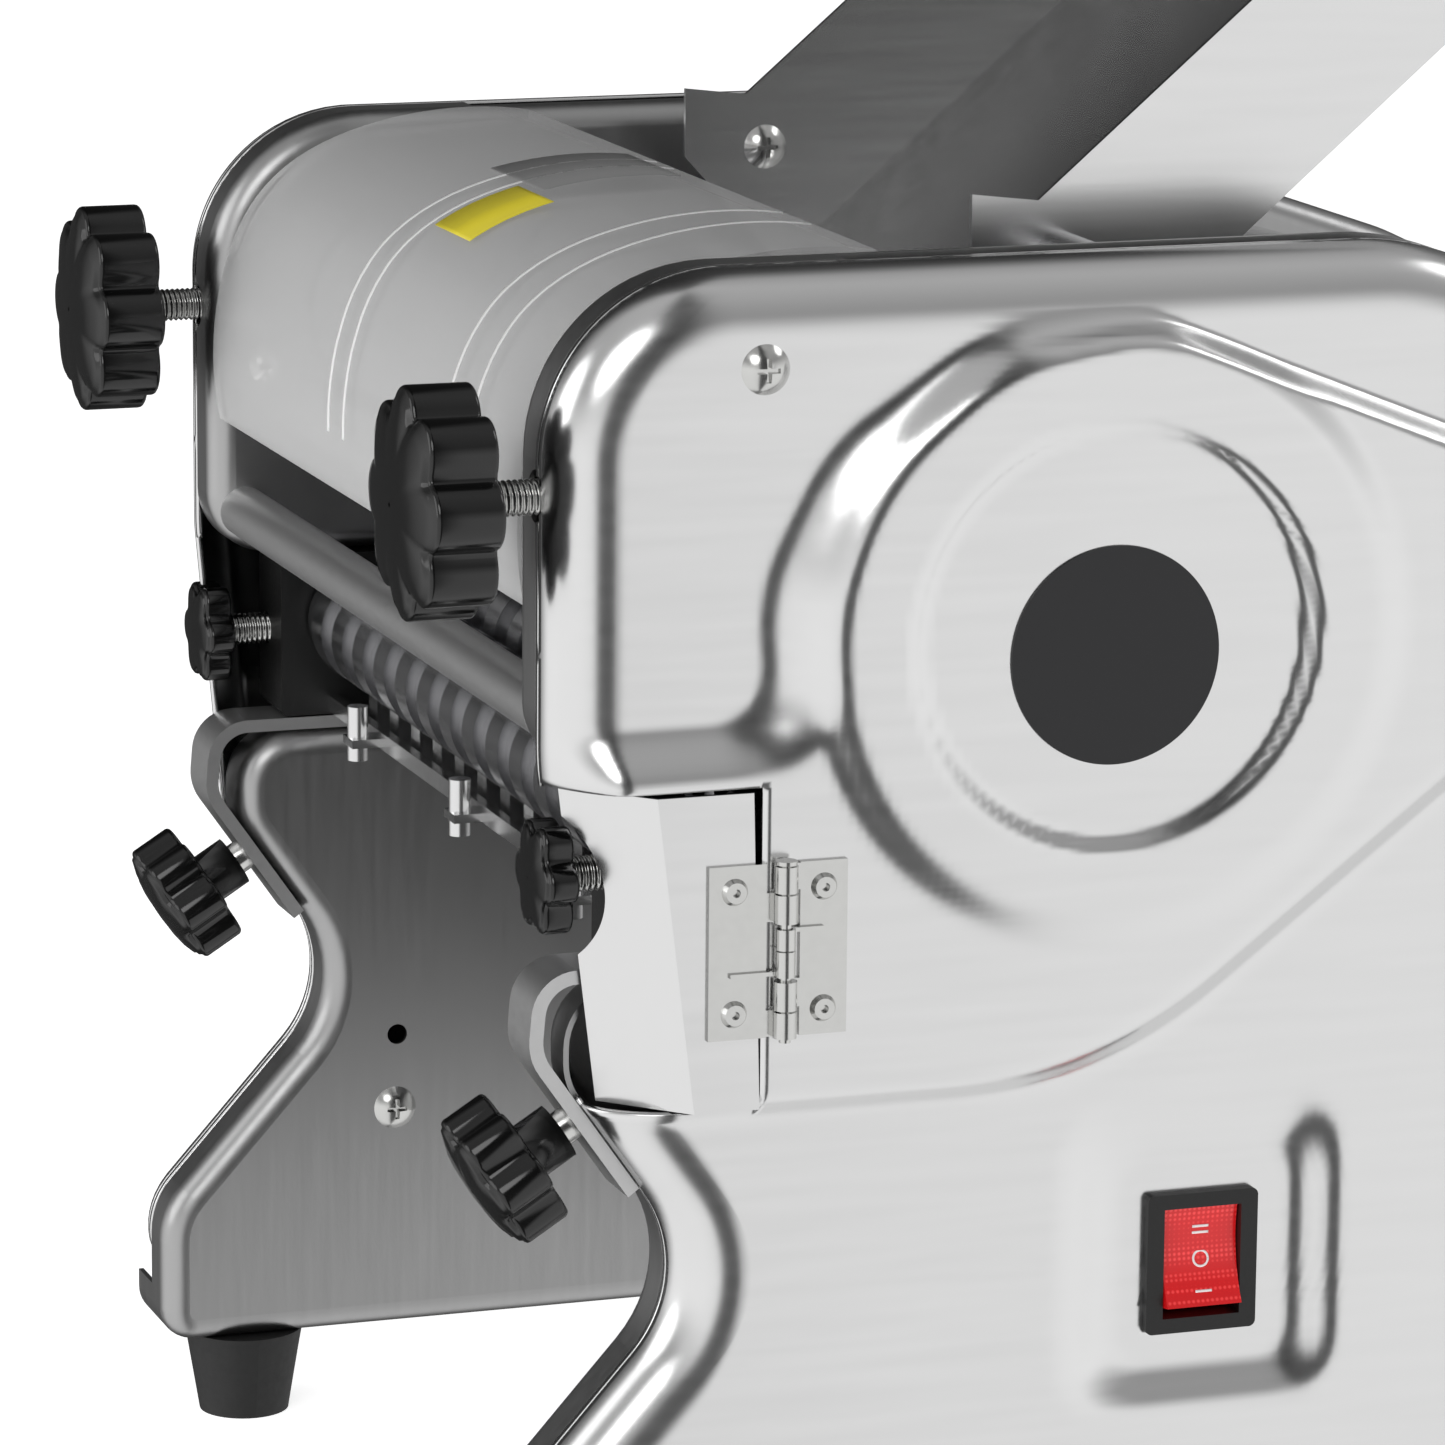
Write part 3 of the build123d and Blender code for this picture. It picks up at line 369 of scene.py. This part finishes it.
def placed(local, origin, axis):
    """Turn local points so that their Z lies along an axis, then move them to the origin."""
    z = np.asarray(axis, float)
    z /= np.linalg.norm(z)
    x = np.cross([0.0, 0.0, 1.0] if abs(z[2]) < 0.9 else [1.0, 0, 0], z)
    x /= np.linalg.norm(x)
    y = np.cross(z, x)
    return local @ np.stack([x, y, z]) + np.asarray(origin, float)


def revolve_mesh(name, local, origin, axis, body, replaced=()):
    """A closed-ring grid carried to its place as a mesh."""
    rows, columns = local.shape[:2]
    points = placed(local.reshape(-1, 3), origin, axis)
    quads = grid_quads(rows, columns, closed=True)[:, ::-1]
    return put_mesh(name, points, quads, body, replaced)


def thread_points(length, radius, pitch, lead):
    """Threaded rod with flat ends: its radius follows a triangle wave of the height less the turn."""
    z = np.concatenate([[0.0, 0.0], np.linspace(0, length, int(length / pitch * 8)), [length, length]])
    angle = np.linspace(0, 2 * math.pi, 28, endpoint=False)
    wave = np.abs(((z[:, None] / pitch - angle / (2 * math.pi)) % 1.0) * 2 - 1)
    r = radius - lead * wave
    r[0] = 0.02
    r[-1] = 0.02
    zz = np.repeat(z[:, None], len(angle), 1)
    return np.stack([r * np.cos(angle), r * np.sin(angle), zz], -1)


# ---------------------------------------------------------------- materials


def add(tree, kind, settings=None, links=None):
    """Add a node with its settings and the links into its inputs."""
    node = tree.nodes.new(kind)
    for key, value in (settings or {}).items():
        if key in node.inputs:
            node.inputs[key].default_value = value
        else:
            setattr(node, key, value)
    for key, source in (links or {}).items():
        tree.links.new(source, node.inputs[key])
    return node


def blank(name):
    """A material with an empty tree, its output and its main shader."""
    material = bpy.data.materials.new(name)
    material.use_nodes = True
    tree = material.node_tree
    tree.nodes.clear()
    shader = add(tree, "ShaderNodeBsdfPrincipled")
    add(tree, "ShaderNodeOutputMaterial", links={"Surface": shader.outputs["BSDF"]})
    return material, tree, shader


def set_values(shader, **values):
    """Set uniform values on the shader's sockets."""
    names = {"colour": "Base Color", "metallic": "Metallic", "roughness": "Roughness", "ior": "IOR",
             "emission": "Emission Color", "glow": "Emission Strength"}
    for key, value in values.items():
        shader.inputs[names[key]].default_value = value


def grain(tree, shader, size, stretch, rough, depth):
    """Grain of a size in mm, drawn out along an axis: it varies the roughness and makes a slight bump."""
    coords = add(tree, "ShaderNodeTexCoord")
    mapping = add(tree, "ShaderNodeMapping", {"Scale": stretch}, {"Vector": coords.outputs["Object"]})
    noise = add(tree, "ShaderNodeTexNoise", {"Scale": MM / size, "Detail": 4.0},
                {"Vector": mapping.outputs["Vector"]})
    span = add(tree, "ShaderNodeMapRange", {"To Min": rough[0], "To Max": rough[1]},
               {"Value": noise.outputs["Fac"]})
    tree.links.new(span.outputs["Result"], shader.inputs["Roughness"])
    bump = add(tree, "ShaderNodeBump", {"Strength": depth, "Distance": 0.0002},
               {"Height": noise.outputs["Fac"]})
    tree.links.new(bump.outputs["Normal"], shader.inputs["Normal"])


def gradient(tree, value, stops):
    """A colour ramp of greys from (position, level) stops, fed by a value."""
    ramp = add(tree, "ShaderNodeValToRGB", links={"Fac": value})
    ends = ramp.color_ramp.elements
    ends[0].position, ends[1].position = stops[0][0], stops[-1][0]
    ends[0].color = (stops[0][1],) * 3 + (1,)
    ends[1].color = (stops[-1][1],) * 3 + (1,)
    for position, level in stops[1:-1]:
        ends.new(position).color = (level,) * 3 + (1,)
    return ramp


# Brightness of the surroundings from straight down (0) to straight up (1)
LEVELS_BY_HEIGHT = [(0.0, 0.95), (0.5, 1.0), (0.58, 0.75), (0.7, 0.34), (1.0, 0.5)]
# Brightness by degrees round the horizon: a dark flag beside the camera and a dark side to the left
LEVELS_BY_TURN = [(-180, 0.05), (-155, 0.1), (-120, 1.0), (-48, 1.0), (-24, 0.95), (-15, 0.12), (7, 0.08),
                  (15, 0.95), (60, 1.0), (120, 0.8), (150, 0.1), (180, 0.05)]

EVEN = (1.0, 1.0, 1.0)
# Metals: key, name, colour, grain size in mm, stretch of the grain, roughness from and to, bump
METALS = (
    # 304 stainless sheet, pressed then polished, faintly brushed; its colour is a setting
    ("stainless", "polished_stainless_sheet", None, 3.0, (1.0, 0.06, 1.0), (0.17, 0.27), 0.04),
    # Brushed stainless of the inner panels, darker and more matt
    ("panel", "brushed_stainless_panel", "#B4B4B4", 2.0, (1.0, 1.0, 0.08), (0.30, 0.42), 0.05),
    # Ground steel of rollers, gears and shafts
    ("steel", "ground_steel", "#C4C4C6", 2.0, (0.1, 1.0, 1.0), (0.18, 0.3), 0.03),
    # Drawn aluminium, satin
    ("aluminium", "satin_aluminium", "#DEDEDE", 1.5, EVEN, (0.36, 0.46), 0.06),
    # Bright zinc plate on screws, hinge and springs
    ("zinc", "bright_zinc_plate", "#D2D2D0", 2.0, EVEN, (0.14, 0.24), 0.03),
)
# Other finishes: key, name, colour, index of refraction, grain size in mm, roughness from and to, bump
COATINGS = (
    # Moulded phenolic of the knobs, glossy with a slight orange peel; its colour is a setting
    ("black_plastic", "moulded_black_phenolic", None, 1.55, 8.0, (0.10, 0.18), 0.05),
    # Matt nylon of the end blocks and the switch frame
    ("matte_black", "matt_black_nylon", "#161616", 1.5, 1.0, (0.35, 0.5), 0.1),
    # Moulded rubber of the feet and the belt
    ("rubber", "moulded_black_rubber", "#1C1C1C", 1.52, 2.0, (0.55, 0.75), 0.2),
    # Baked enamel of the motor
    ("motor_paint", "grey_enamel", "#7C8086", 1.5, 3.0, (0.3, 0.4), 0.06),
    # Printed film of the badge
    ("badge", "satin_black_film", "#1D1D1F", 1.5, 0.8, (0.4, 0.5), 0.04),
    # Films on the guard, ink of the rocker marks, and near-white strips that paint the highlights along the
    # edges of the guard's moulded ribs
    ("yellow_film", "yellow_film", "#F0DF3C", 1.5, 2.0, (0.4, 0.5), 0.02),
    ("grey_film", "grey_film", "#8E8E8E", 1.5, 2.0, (0.4, 0.5), 0.02),
    ("white_ink", "white_ink", "#F4EDED", 1.5, 2.0, (0.4, 0.5), 0.02),
    # Painted highlight: near-white strips that stand for the gleam along the guard's rib edges
    ("rib_edge_highlight", "rib_edge_highlight", "#F2F2F2", 1.5, 2.0, (0.4, 0.5), 0.02),
)


def clear_sheet():
    """Clear bent polycarbonate: a share that grows with the slant is opaque near-white and glossy, a painted
    pale sheen, the rest lets light through.
    """
    material, tree, shader = blank("clear_polycarbonate")
    # Painted sheen: the opaque near-white base colour stands in for the pale reflections on the clear sheet
    set_values(shader, colour=linear("#F6F6F6"), metallic=0.0, ior=1.45)
    grain(tree, shader, 40.0, EVEN, (0.04, 0.09), 0.01)
    through = add(tree, "ShaderNodeBsdfTransparent")
    through.inputs["Color"].default_value = linear("#F4F4F4")
    facing = add(tree, "ShaderNodeLayerWeight", {"Blend": 0.25})
    share = add(tree, "ShaderNodeMapRange", {"To Min": 0.22, "To Max": 0.7},
                {"Value": facing.outputs["Facing"]})
    blend = add(tree, "ShaderNodeMixShader")
    tree.links.new(share.outputs["Result"], blend.inputs[0])
    tree.links.new(through.outputs[0], blend.inputs[1])
    tree.links.new(shader.outputs[0], blend.inputs[2])
    output = [node for node in tree.nodes if node.type == "OUTPUT_MATERIAL"][0]
    tree.links.new(blend.outputs[0], output.inputs["Surface"])
    return material


def red_rocker(code):
    """Translucent red polycarbonate with a grid of moulded dots 1.1 mm apart, lit faintly from inside."""
    material, tree, shader = blank("translucent_red_polycarbonate")
    set_values(shader, metallic=0.0, ior=1.55, roughness=0.18, glow=0.25, emission=linear(code))
    coords = add(tree, "ShaderNodeTexCoord")
    cells = add(tree, "ShaderNodeTexVoronoi", {"Scale": MM / 1.1, "Randomness": 0.0},
                {"Vector": coords.outputs["Object"]})
    dots = add(tree, "ShaderNodeMapRange", {"From Min": 0.15, "From Max": 0.45},
               {"Value": cells.outputs["Distance"]})
    mix = add(tree, "ShaderNodeMix", {"data_type": "RGBA"}, {"Factor": dots.outputs["Result"]})
    mix.inputs[6].default_value = linear("#F04444")
    mix.inputs[7].default_value = linear(code)
    tree.links.new(mix.outputs[2], shader.inputs["Base Color"])
    return material


def make_materials(looks):
    """Every finish of the machine, by its key."""
    made = {}
    for key, name, code, size, stretch, rough, bump in METALS:
        made[key], tree, shader = blank(name)
        set_values(shader, colour=linear(code or looks.steel_colour), metallic=1.0)
        grain(tree, shader, size, stretch, rough, bump)
    for key, name, code, ior, size, rough, bump in COATINGS:
        made[key], tree, shader = blank(name)
        set_values(shader, colour=linear(code or looks.knob_colour), metallic=0.0, ior=ior)
        grain(tree, shader, size, EVEN, rough, bump)
    made["clear"] = clear_sheet()
    made["red_plastic"] = red_rocker(looks.rocker_colour)
    return made


MADE = {}
SLOTS = {row["node"]: row["material_slot"] for row in frame["record"]["subparts"]}
PANELS = ("inner_panel_left", "inner_panel_right", "partition")


# ---------------------------------------------------------------- settings, operators and panel


class SheeterLooks(bpy.types.PropertyGroup):
    """Sizes and colours a user may change."""
    steel_colour: bpy.props.StringProperty(name="Steel", description="sRGB hex of the sheet steel",
                                           default="#E4E4E4")
    knob_colour: bpy.props.StringProperty(name="Knobs", description="sRGB hex of the knobs",
                                          default="#0B0B0B")
    rocker_colour: bpy.props.StringProperty(name="Rocker", description="sRGB hex of the rocker",
                                            default="#C40F14")
    pitch: bpy.props.FloatProperty(name="Thread pitch", description="Pitch of the M8 threads in millimetres",
                                   default=1.25)
    floor_size: bpy.props.FloatProperty(name="Floor", description="Width of the floor", default=12.0,
                                        unit="LENGTH")
    key_power: bpy.props.FloatProperty(name="Key light", description="Power of the key light in watts",
                                       default=10.0)


class SHEETER_OT_finishes(bpy.types.Operator):
    """Give every solid node its material"""
    bl_idname = "sheeter.finishes"
    bl_label = "Finishes"

    def execute(self, context):
        MADE.update(make_materials(context.scene.sheeter))
        for name, obj in NODES.items():
            key = "panel" if name in PANELS else "badge" if name == "badge" else SLOTS[name]
            finish(obj, MADE[key])
        return {"FINISHED"}


class SHEETER_OT_covers(bpy.types.Operator):
    """Build the two pressed covers"""
    bl_idname = "sheeter.covers"
    bl_label = "Covers"

    def execute(self, context):
        for name, side in (("right", 1), ("left", -1)):
            cover = build_cover("pressed_cover_" + name, "cover_" + name, side, side > 0)
            finish(cover, MADE["stainless"])
        return {"FINISHED"}


FORWARD = (0, -1, 0)
SIDES = ((-1, "left"), (1, "right"))


class SHEETER_OT_knobs(bpy.types.Operator):
    """Build the lobed knobs"""
    bl_idname = "sheeter.knobs"
    bl_label = "Knobs"

    def execute(self, context):
        slope = math.radians(32.0)
        aim = (0, -math.cos(slope), -math.sin(slope))
        # Name, lobes, outer and lobe radius, thickness, dome, hub radius and length, place, axis, body
        kinds = (("gap", (8, 24.5, 7.2, 14.6, 3.0, 9.0, 0.3), (134.0, -160.75, 276.6), FORWARD,
                  "gap_screw_set_"),
                 ("lock", (6, 12.5, 4.0, 6.4, 1.2, 5.5, 0.2), (133.5, -140.85, 196.5), FORWARD, "lock_turn_"),
                 ("clamp", (7, 16.0, 4.6, 11.0, 2.8, 6.3, 8.6),
                  np.array([128.5, -137.6, 141.5]) + 11.2 * np.array(aim), aim, "clamp_turn_"))
        for side, name in SIDES:
            for kind, sizes, place, axis, body in kinds:
                origin = np.array(place) * np.array([side, 1, 1])
                knob = revolve_mesh(kind + "_grip_" + name, knob_points(*sizes), origin, axis, body + name,
                                    (kind + "_knob_" + name,))
                finish(knob, MADE["black_plastic"])
        return {"FINISHED"}


class SHEETER_OT_threads(bpy.types.Operator):
    """Cut the threads of the visible screws"""
    bl_idname = "sheeter.threads"
    bl_label = "Threads"

    def execute(self, context):
        pitch = context.scene.sheeter.pitch
        # Name, length, place, body and the node that each thread stands for
        kinds = (("gap", 52.9, (134.0, -113.0, 276.6), "gap_screw_set_", "gap_screw_"),
                 ("lock", 16.0, (133.5, -128.0, 196.5), "lock_slide_", "lock_stud_"))
        for side, name in SIDES:
            for kind, length, (x, y, z), body, node in kinds:
                screw = revolve_mesh(kind + "_thread_" + name, thread_points(length, 3.9, pitch, 0.55),
                                     (side * x, y, z), FORWARD, body + name, (node + name,))
                finish(screw, MADE["zinc"])
        return {"FINISHED"}


class SHEETER_OT_guard(bpy.types.Operator):
    """Painted highlight strips along the rib edges and plain label films on the clear guard"""
    bl_idname = "sheeter.guard"
    bl_label = "Guard details"

    def execute(self, context):
        # Profile of the guard's outer face, in Y and Z: straight up, round the bend, then to the rear
        line = rounded([(-145.2, 251), (-146.2, 276), (-134.2, 306.2), (-105.1, 321.2), (-68, 322.7),
                        (-60, 240)], [4, 40, 50, 60, 1, 1], 1.0)
        line = line[(line[:, 0] < -68.5) & ((line[:, 1] > 300) | (line[:, 0] < -133)) & (line[:, 1] > 255)]
        order = np.argsort(np.arctan2(line[:, 1] - 250, line[:, 0] + 70))[::-1]
        line = line[order]
        away = line - np.array([-70.0, 250.0])
        away /= np.linalg.norm(away, axis=1)[:, None]
        # Each sample moves in from 15 mm outside to the face that it meets, and 0.15 mm off it
        face = []
        for point, out in zip(line, away):
            start = Vector(metres((0.0, *(point + 15.0 * out))))
            hit, place, _, _ = NODES["guard"].ray_cast(start, Vector((0.0, *(-out))))
            if hit:
                face.append((np.array(place) * MM - SHIFT)[1:] + 0.15 * out)
        if len(face) < 20:
            raise RuntimeError("the guard's outer face was not found")
        y, z = np.array(face).T
        # Each piece: its middle and half width in X, its profile and its finish
        pieces = []
        # Pairs of near-white strips 1.4 mm wide paint the highlights along both edges of each rib
        for centre in (-21.0, -9.0, 64.0, 82.0):
            low = 262.0 if centre < 0 else 276.0
            pieces.append((centre, 0.7, y[z > low], z[z > low], "rib_edge_highlight"))
        films = ((7.5, 13.0, -127.0, -106.0, "yellow_film"), (-13.0, 19.0, -105.0, -70.0, "grey_film"))
        for centre, half, y0, y1, key in films:
            span = (y > y0) & (y < y1)
            pieces.append((centre, half, y[span], z[span], key))
        for number, (centre, half, py, pz, key) in enumerate(pieces):
            across = np.array([-half, half]) + centre
            grid = np.stack([np.tile(across, (len(py), 1)), np.repeat(py[:, None], 2, 1),
                             np.repeat(pz[:, None], 2, 1)], -1).reshape(-1, 3)
            obj = put_mesh("guard_%s_%d" % (key, number), grid, grid_quads(len(py), 2), "chassis")
            wall = obj.modifiers.new("film", "SOLIDIFY")
            wall.thickness = FILM / MM
            finish(obj, MADE[key])
        return {"FINISHED"}


def mark_grid(kind, reach, half):
    """A flat mark as rings of a grid: a bar is its two long edges, a ring its inner and outer circle."""
    if kind == "bar":
        across = np.linspace(-reach, reach, 9)
        return np.stack([np.stack([across, np.full(9, h)], -1) for h in (-half, half)])
    turn = np.linspace(0, 2 * math.pi, 49)
    return np.stack([r * np.stack([np.cos(turn), np.sin(turn)], -1) for r in (reach - half, reach + half)])


class SHEETER_OT_marks(bpy.types.Operator):
    """Print the position marks on the rocker"""
    bl_idname = "sheeter.marks"
    bl_label = "Rocker marks"

    def execute(self, context):
        rocker = NODES["switch_rocker"]
        # Kind, reach, half width of its line and height over the rocker's middle
        marks = (("bar", 1.9, 0.28, 7.4), ("bar", 1.9, 0.28, 6.0), ("ring", 1.7, 0.25, 0.3),
                 ("bar", 1.9, 0.28, -6.4))
        for number, (kind, reach, half, height) in enumerate(marks):
            start = Vector(metres((200.0, 0.3, SWITCH_Z + height)))
            hit, place, normal, _ = rocker.ray_cast(start, Vector((-1, 0, 0)))
            if not hit:
                raise RuntimeError("the rocker has no face under mark %d" % number)
            flat = mark_grid(kind, reach, half)
            up = Vector((0, 1, 0)).cross(normal).normalized() * -1
            base = np.array(place) * MM - SHIFT + 0.06 * np.array(normal)
            points = base + flat[..., 0:1] * np.array([0.0, 1.0, 0.0]) + flat[..., 1:2] * np.array(up)
            quads = grid_quads(*flat.shape[:2])[:, ::-1]
            obj = put_mesh("rocker_mark_%d" % number, points.reshape(-1, 3), quads, "rocker")
            wall = obj.modifiers.new("ink", "SOLIDIFY")
            wall.thickness = INK / MM
            wall.offset = 0.0
            finish(obj, MADE["white_ink"])
        return {"FINISHED"}


def lay_floor(scene, width):
    """A pale floor that keeps out of the mirror-like reflections."""
    half = width / 2
    mesh = bpy.data.meshes.new("floor")
    corners = [(-half, -half, 0), (half, -half, 0), (half, half, 0), (-half, half, 0)]
    mesh.from_pydata(corners, [], [(0, 1, 2, 3)])
    floor = bpy.data.objects.new("floor", mesh)
    scene.collection.objects.link(floor)
    material, _, shader = blank("white_floor")
    set_values(shader, colour=linear("#FAFAFA"), roughness=0.9, emission=(1, 1, 1, 1), glow=0.8)
    mesh.materials.append(material)
    floor.visible_glossy = False


def surround(scene):
    """Surroundings: grey by height times grey by turn, and plain white where seen directly."""
    world = bpy.data.worlds.new("studio")
    scene.world = world
    world.use_nodes = True
    tree = world.node_tree
    tree.nodes.clear()
    coords = add(tree, "ShaderNodeTexCoord")
    split = add(tree, "ShaderNodeSeparateXYZ", links={"Vector": coords.outputs["Generated"]})
    height = add(tree, "ShaderNodeMapRange", {"From Min": -1.0, "From Max": 1.0},
                 {"Value": split.outputs["Z"]})
    overall = gradient(tree, height.outputs["Result"], LEVELS_BY_HEIGHT)
    turn = add(tree, "ShaderNodeMath", {"operation": "ARCTAN2"})
    tree.links.new(split.outputs["Y"], turn.inputs[0])
    tree.links.new(split.outputs["X"], turn.inputs[1])
    share = add(tree, "ShaderNodeMapRange", {"From Min": -math.pi, "From Max": math.pi},
                {"Value": turn.outputs[0]})
    levels = [((angle + 180) / 360.0, level) for angle, level in LEVELS_BY_TURN]
    strips = gradient(tree, share.outputs["Result"], levels)
    product = add(tree, "ShaderNodeMix", {"data_type": "RGBA", "blend_type": "MULTIPLY"})
    product.inputs[0].default_value = 1.0
    tree.links.new(overall.outputs["Color"], product.inputs[6])
    tree.links.new(strips.outputs["Color"], product.inputs[7])
    soft = add(tree, "ShaderNodeBackground", {"Strength": 1.0}, {"Color": product.outputs[2]})
    white = add(tree, "ShaderNodeBackground", {"Strength": 1.0, "Color": (1, 1, 1, 1)})
    path = add(tree, "ShaderNodeLightPath")
    mix = add(tree, "ShaderNodeMixShader")
    tree.links.new(path.outputs["Is Camera Ray"], mix.inputs[0])
    tree.links.new(soft.outputs[0], mix.inputs[1])
    tree.links.new(white.outputs[0], mix.inputs[2])
    add(tree, "ShaderNodeOutputWorld", links={"Surface": mix.outputs[0]})


def hang_lamps(scene, power):
    """Three soft round lamps, all aimed at the middle of the machine."""
    aim = Vector((0, 0, 0.2))
    # Name, place and size in metres, share of the key light's power
    lamps = (("key", (1.6, -1.2, 1.5), 1.2, 1.0), ("front", (-0.2, -2.2, 1.0), 1.6, 0.9),
             ("rear", (0.3, 1.8, 1.8), 1.0, 0.5))
    for name, place, size, share in lamps:
        lamp = bpy.data.lights.new(name, "AREA")
        lamp.shape = "DISK"
        lamp.size = size
        lamp.energy = power * share
        obj = bpy.data.objects.new(name, lamp)
        obj.location = place
        obj.rotation_euler = (aim - Vector(place)).to_track_quat("-Z", "Y").to_euler()
        scene.collection.objects.link(obj)


def place_camera(scene):
    """A long lens in front and to the right, turned by azimuth, then elevation, then a slight roll."""
    azimuth, elevation, roll = math.radians(70.87), math.radians(12.05), math.radians(0.48)
    sin_a, cos_a = math.sin(azimuth), math.cos(azimuth)
    sin_e, cos_e = math.sin(elevation), math.cos(elevation)
    right = Vector((cos_a, sin_a, 0))
    up = Vector((-sin_a * sin_e, cos_a * sin_e, cos_e))
    away = Vector((-sin_a * cos_e, cos_a * cos_e, -sin_e))
    turned_right = math.cos(roll) * right + math.sin(roll) * up
    turned_up = -math.sin(roll) * right + math.cos(roll) * up
    matrix = Matrix((turned_right, turned_up, -away)).transposed().to_4x4()
    matrix.translation = Vector(metres((1488.9, -580.6, 537.3)))
    lens = bpy.data.cameras.new("camera")
    lens.sensor_width = 36.0
    lens.lens = 175.8
    lens.shift_x = 0.0142
    lens.shift_y = -0.0135
    lens.clip_end = 50.0
    camera = bpy.data.objects.new("camera", lens)
    camera.matrix_world = matrix
    scene.collection.objects.link(camera)
    scene.camera = camera


class SHEETER_OT_stage(bpy.types.Operator):
    """Floor, surroundings, soft lights and camera"""
    bl_idname = "sheeter.stage"
    bl_label = "Stage"

    def execute(self, context):
        scene = context.scene
        lay_floor(scene, scene.sheeter.floor_size)
        surround(scene)
        hang_lamps(scene, scene.sheeter.key_power)
        place_camera(scene)
        scene.view_settings.view_transform = "Standard"
        return {"FINISHED"}


OPERATORS = (SHEETER_OT_finishes, SHEETER_OT_covers, SHEETER_OT_knobs, SHEETER_OT_threads, SHEETER_OT_guard,
             SHEETER_OT_marks, SHEETER_OT_stage)


class SHEETER_PT_panel(bpy.types.Panel):
    """Lists the settings and the operators"""
    bl_idname = "SHEETER_PT_panel"
    bl_label = "Dough sheeter"
    bl_space_type = "VIEW_3D"
    bl_region_type = "UI"
    bl_category = "Sheeter"

    def draw(self, context):
        for key in SheeterLooks.__annotations__:
            self.layout.prop(context.scene.sheeter, key)
        for operator in OPERATORS:
            self.layout.operator(operator.bl_idname)


CLASSES = (SheeterLooks,) + OPERATORS + (SHEETER_PT_panel,)


def register():
    """Register the classes and hang the settings on the scene."""
    for cls in CLASSES:
        bpy.utils.register_class(cls)
    bpy.types.Scene.sheeter = bpy.props.PointerProperty(type=SheeterLooks)


def unregister():
    """Undo register."""
    del bpy.types.Scene.sheeter
    for cls in reversed(CLASSES):
        bpy.utils.unregister_class(cls)


def main():
    """Build every piece in order."""
    register()
    bpy.ops.sheeter.finishes()
    bpy.ops.sheeter.covers()
    bpy.ops.sheeter.knobs()
    bpy.ops.sheeter.threads()
    bpy.ops.sheeter.guard()
    bpy.ops.sheeter.marks()
    bpy.ops.sheeter.stage()


if __name__ == "__main__":
    main()
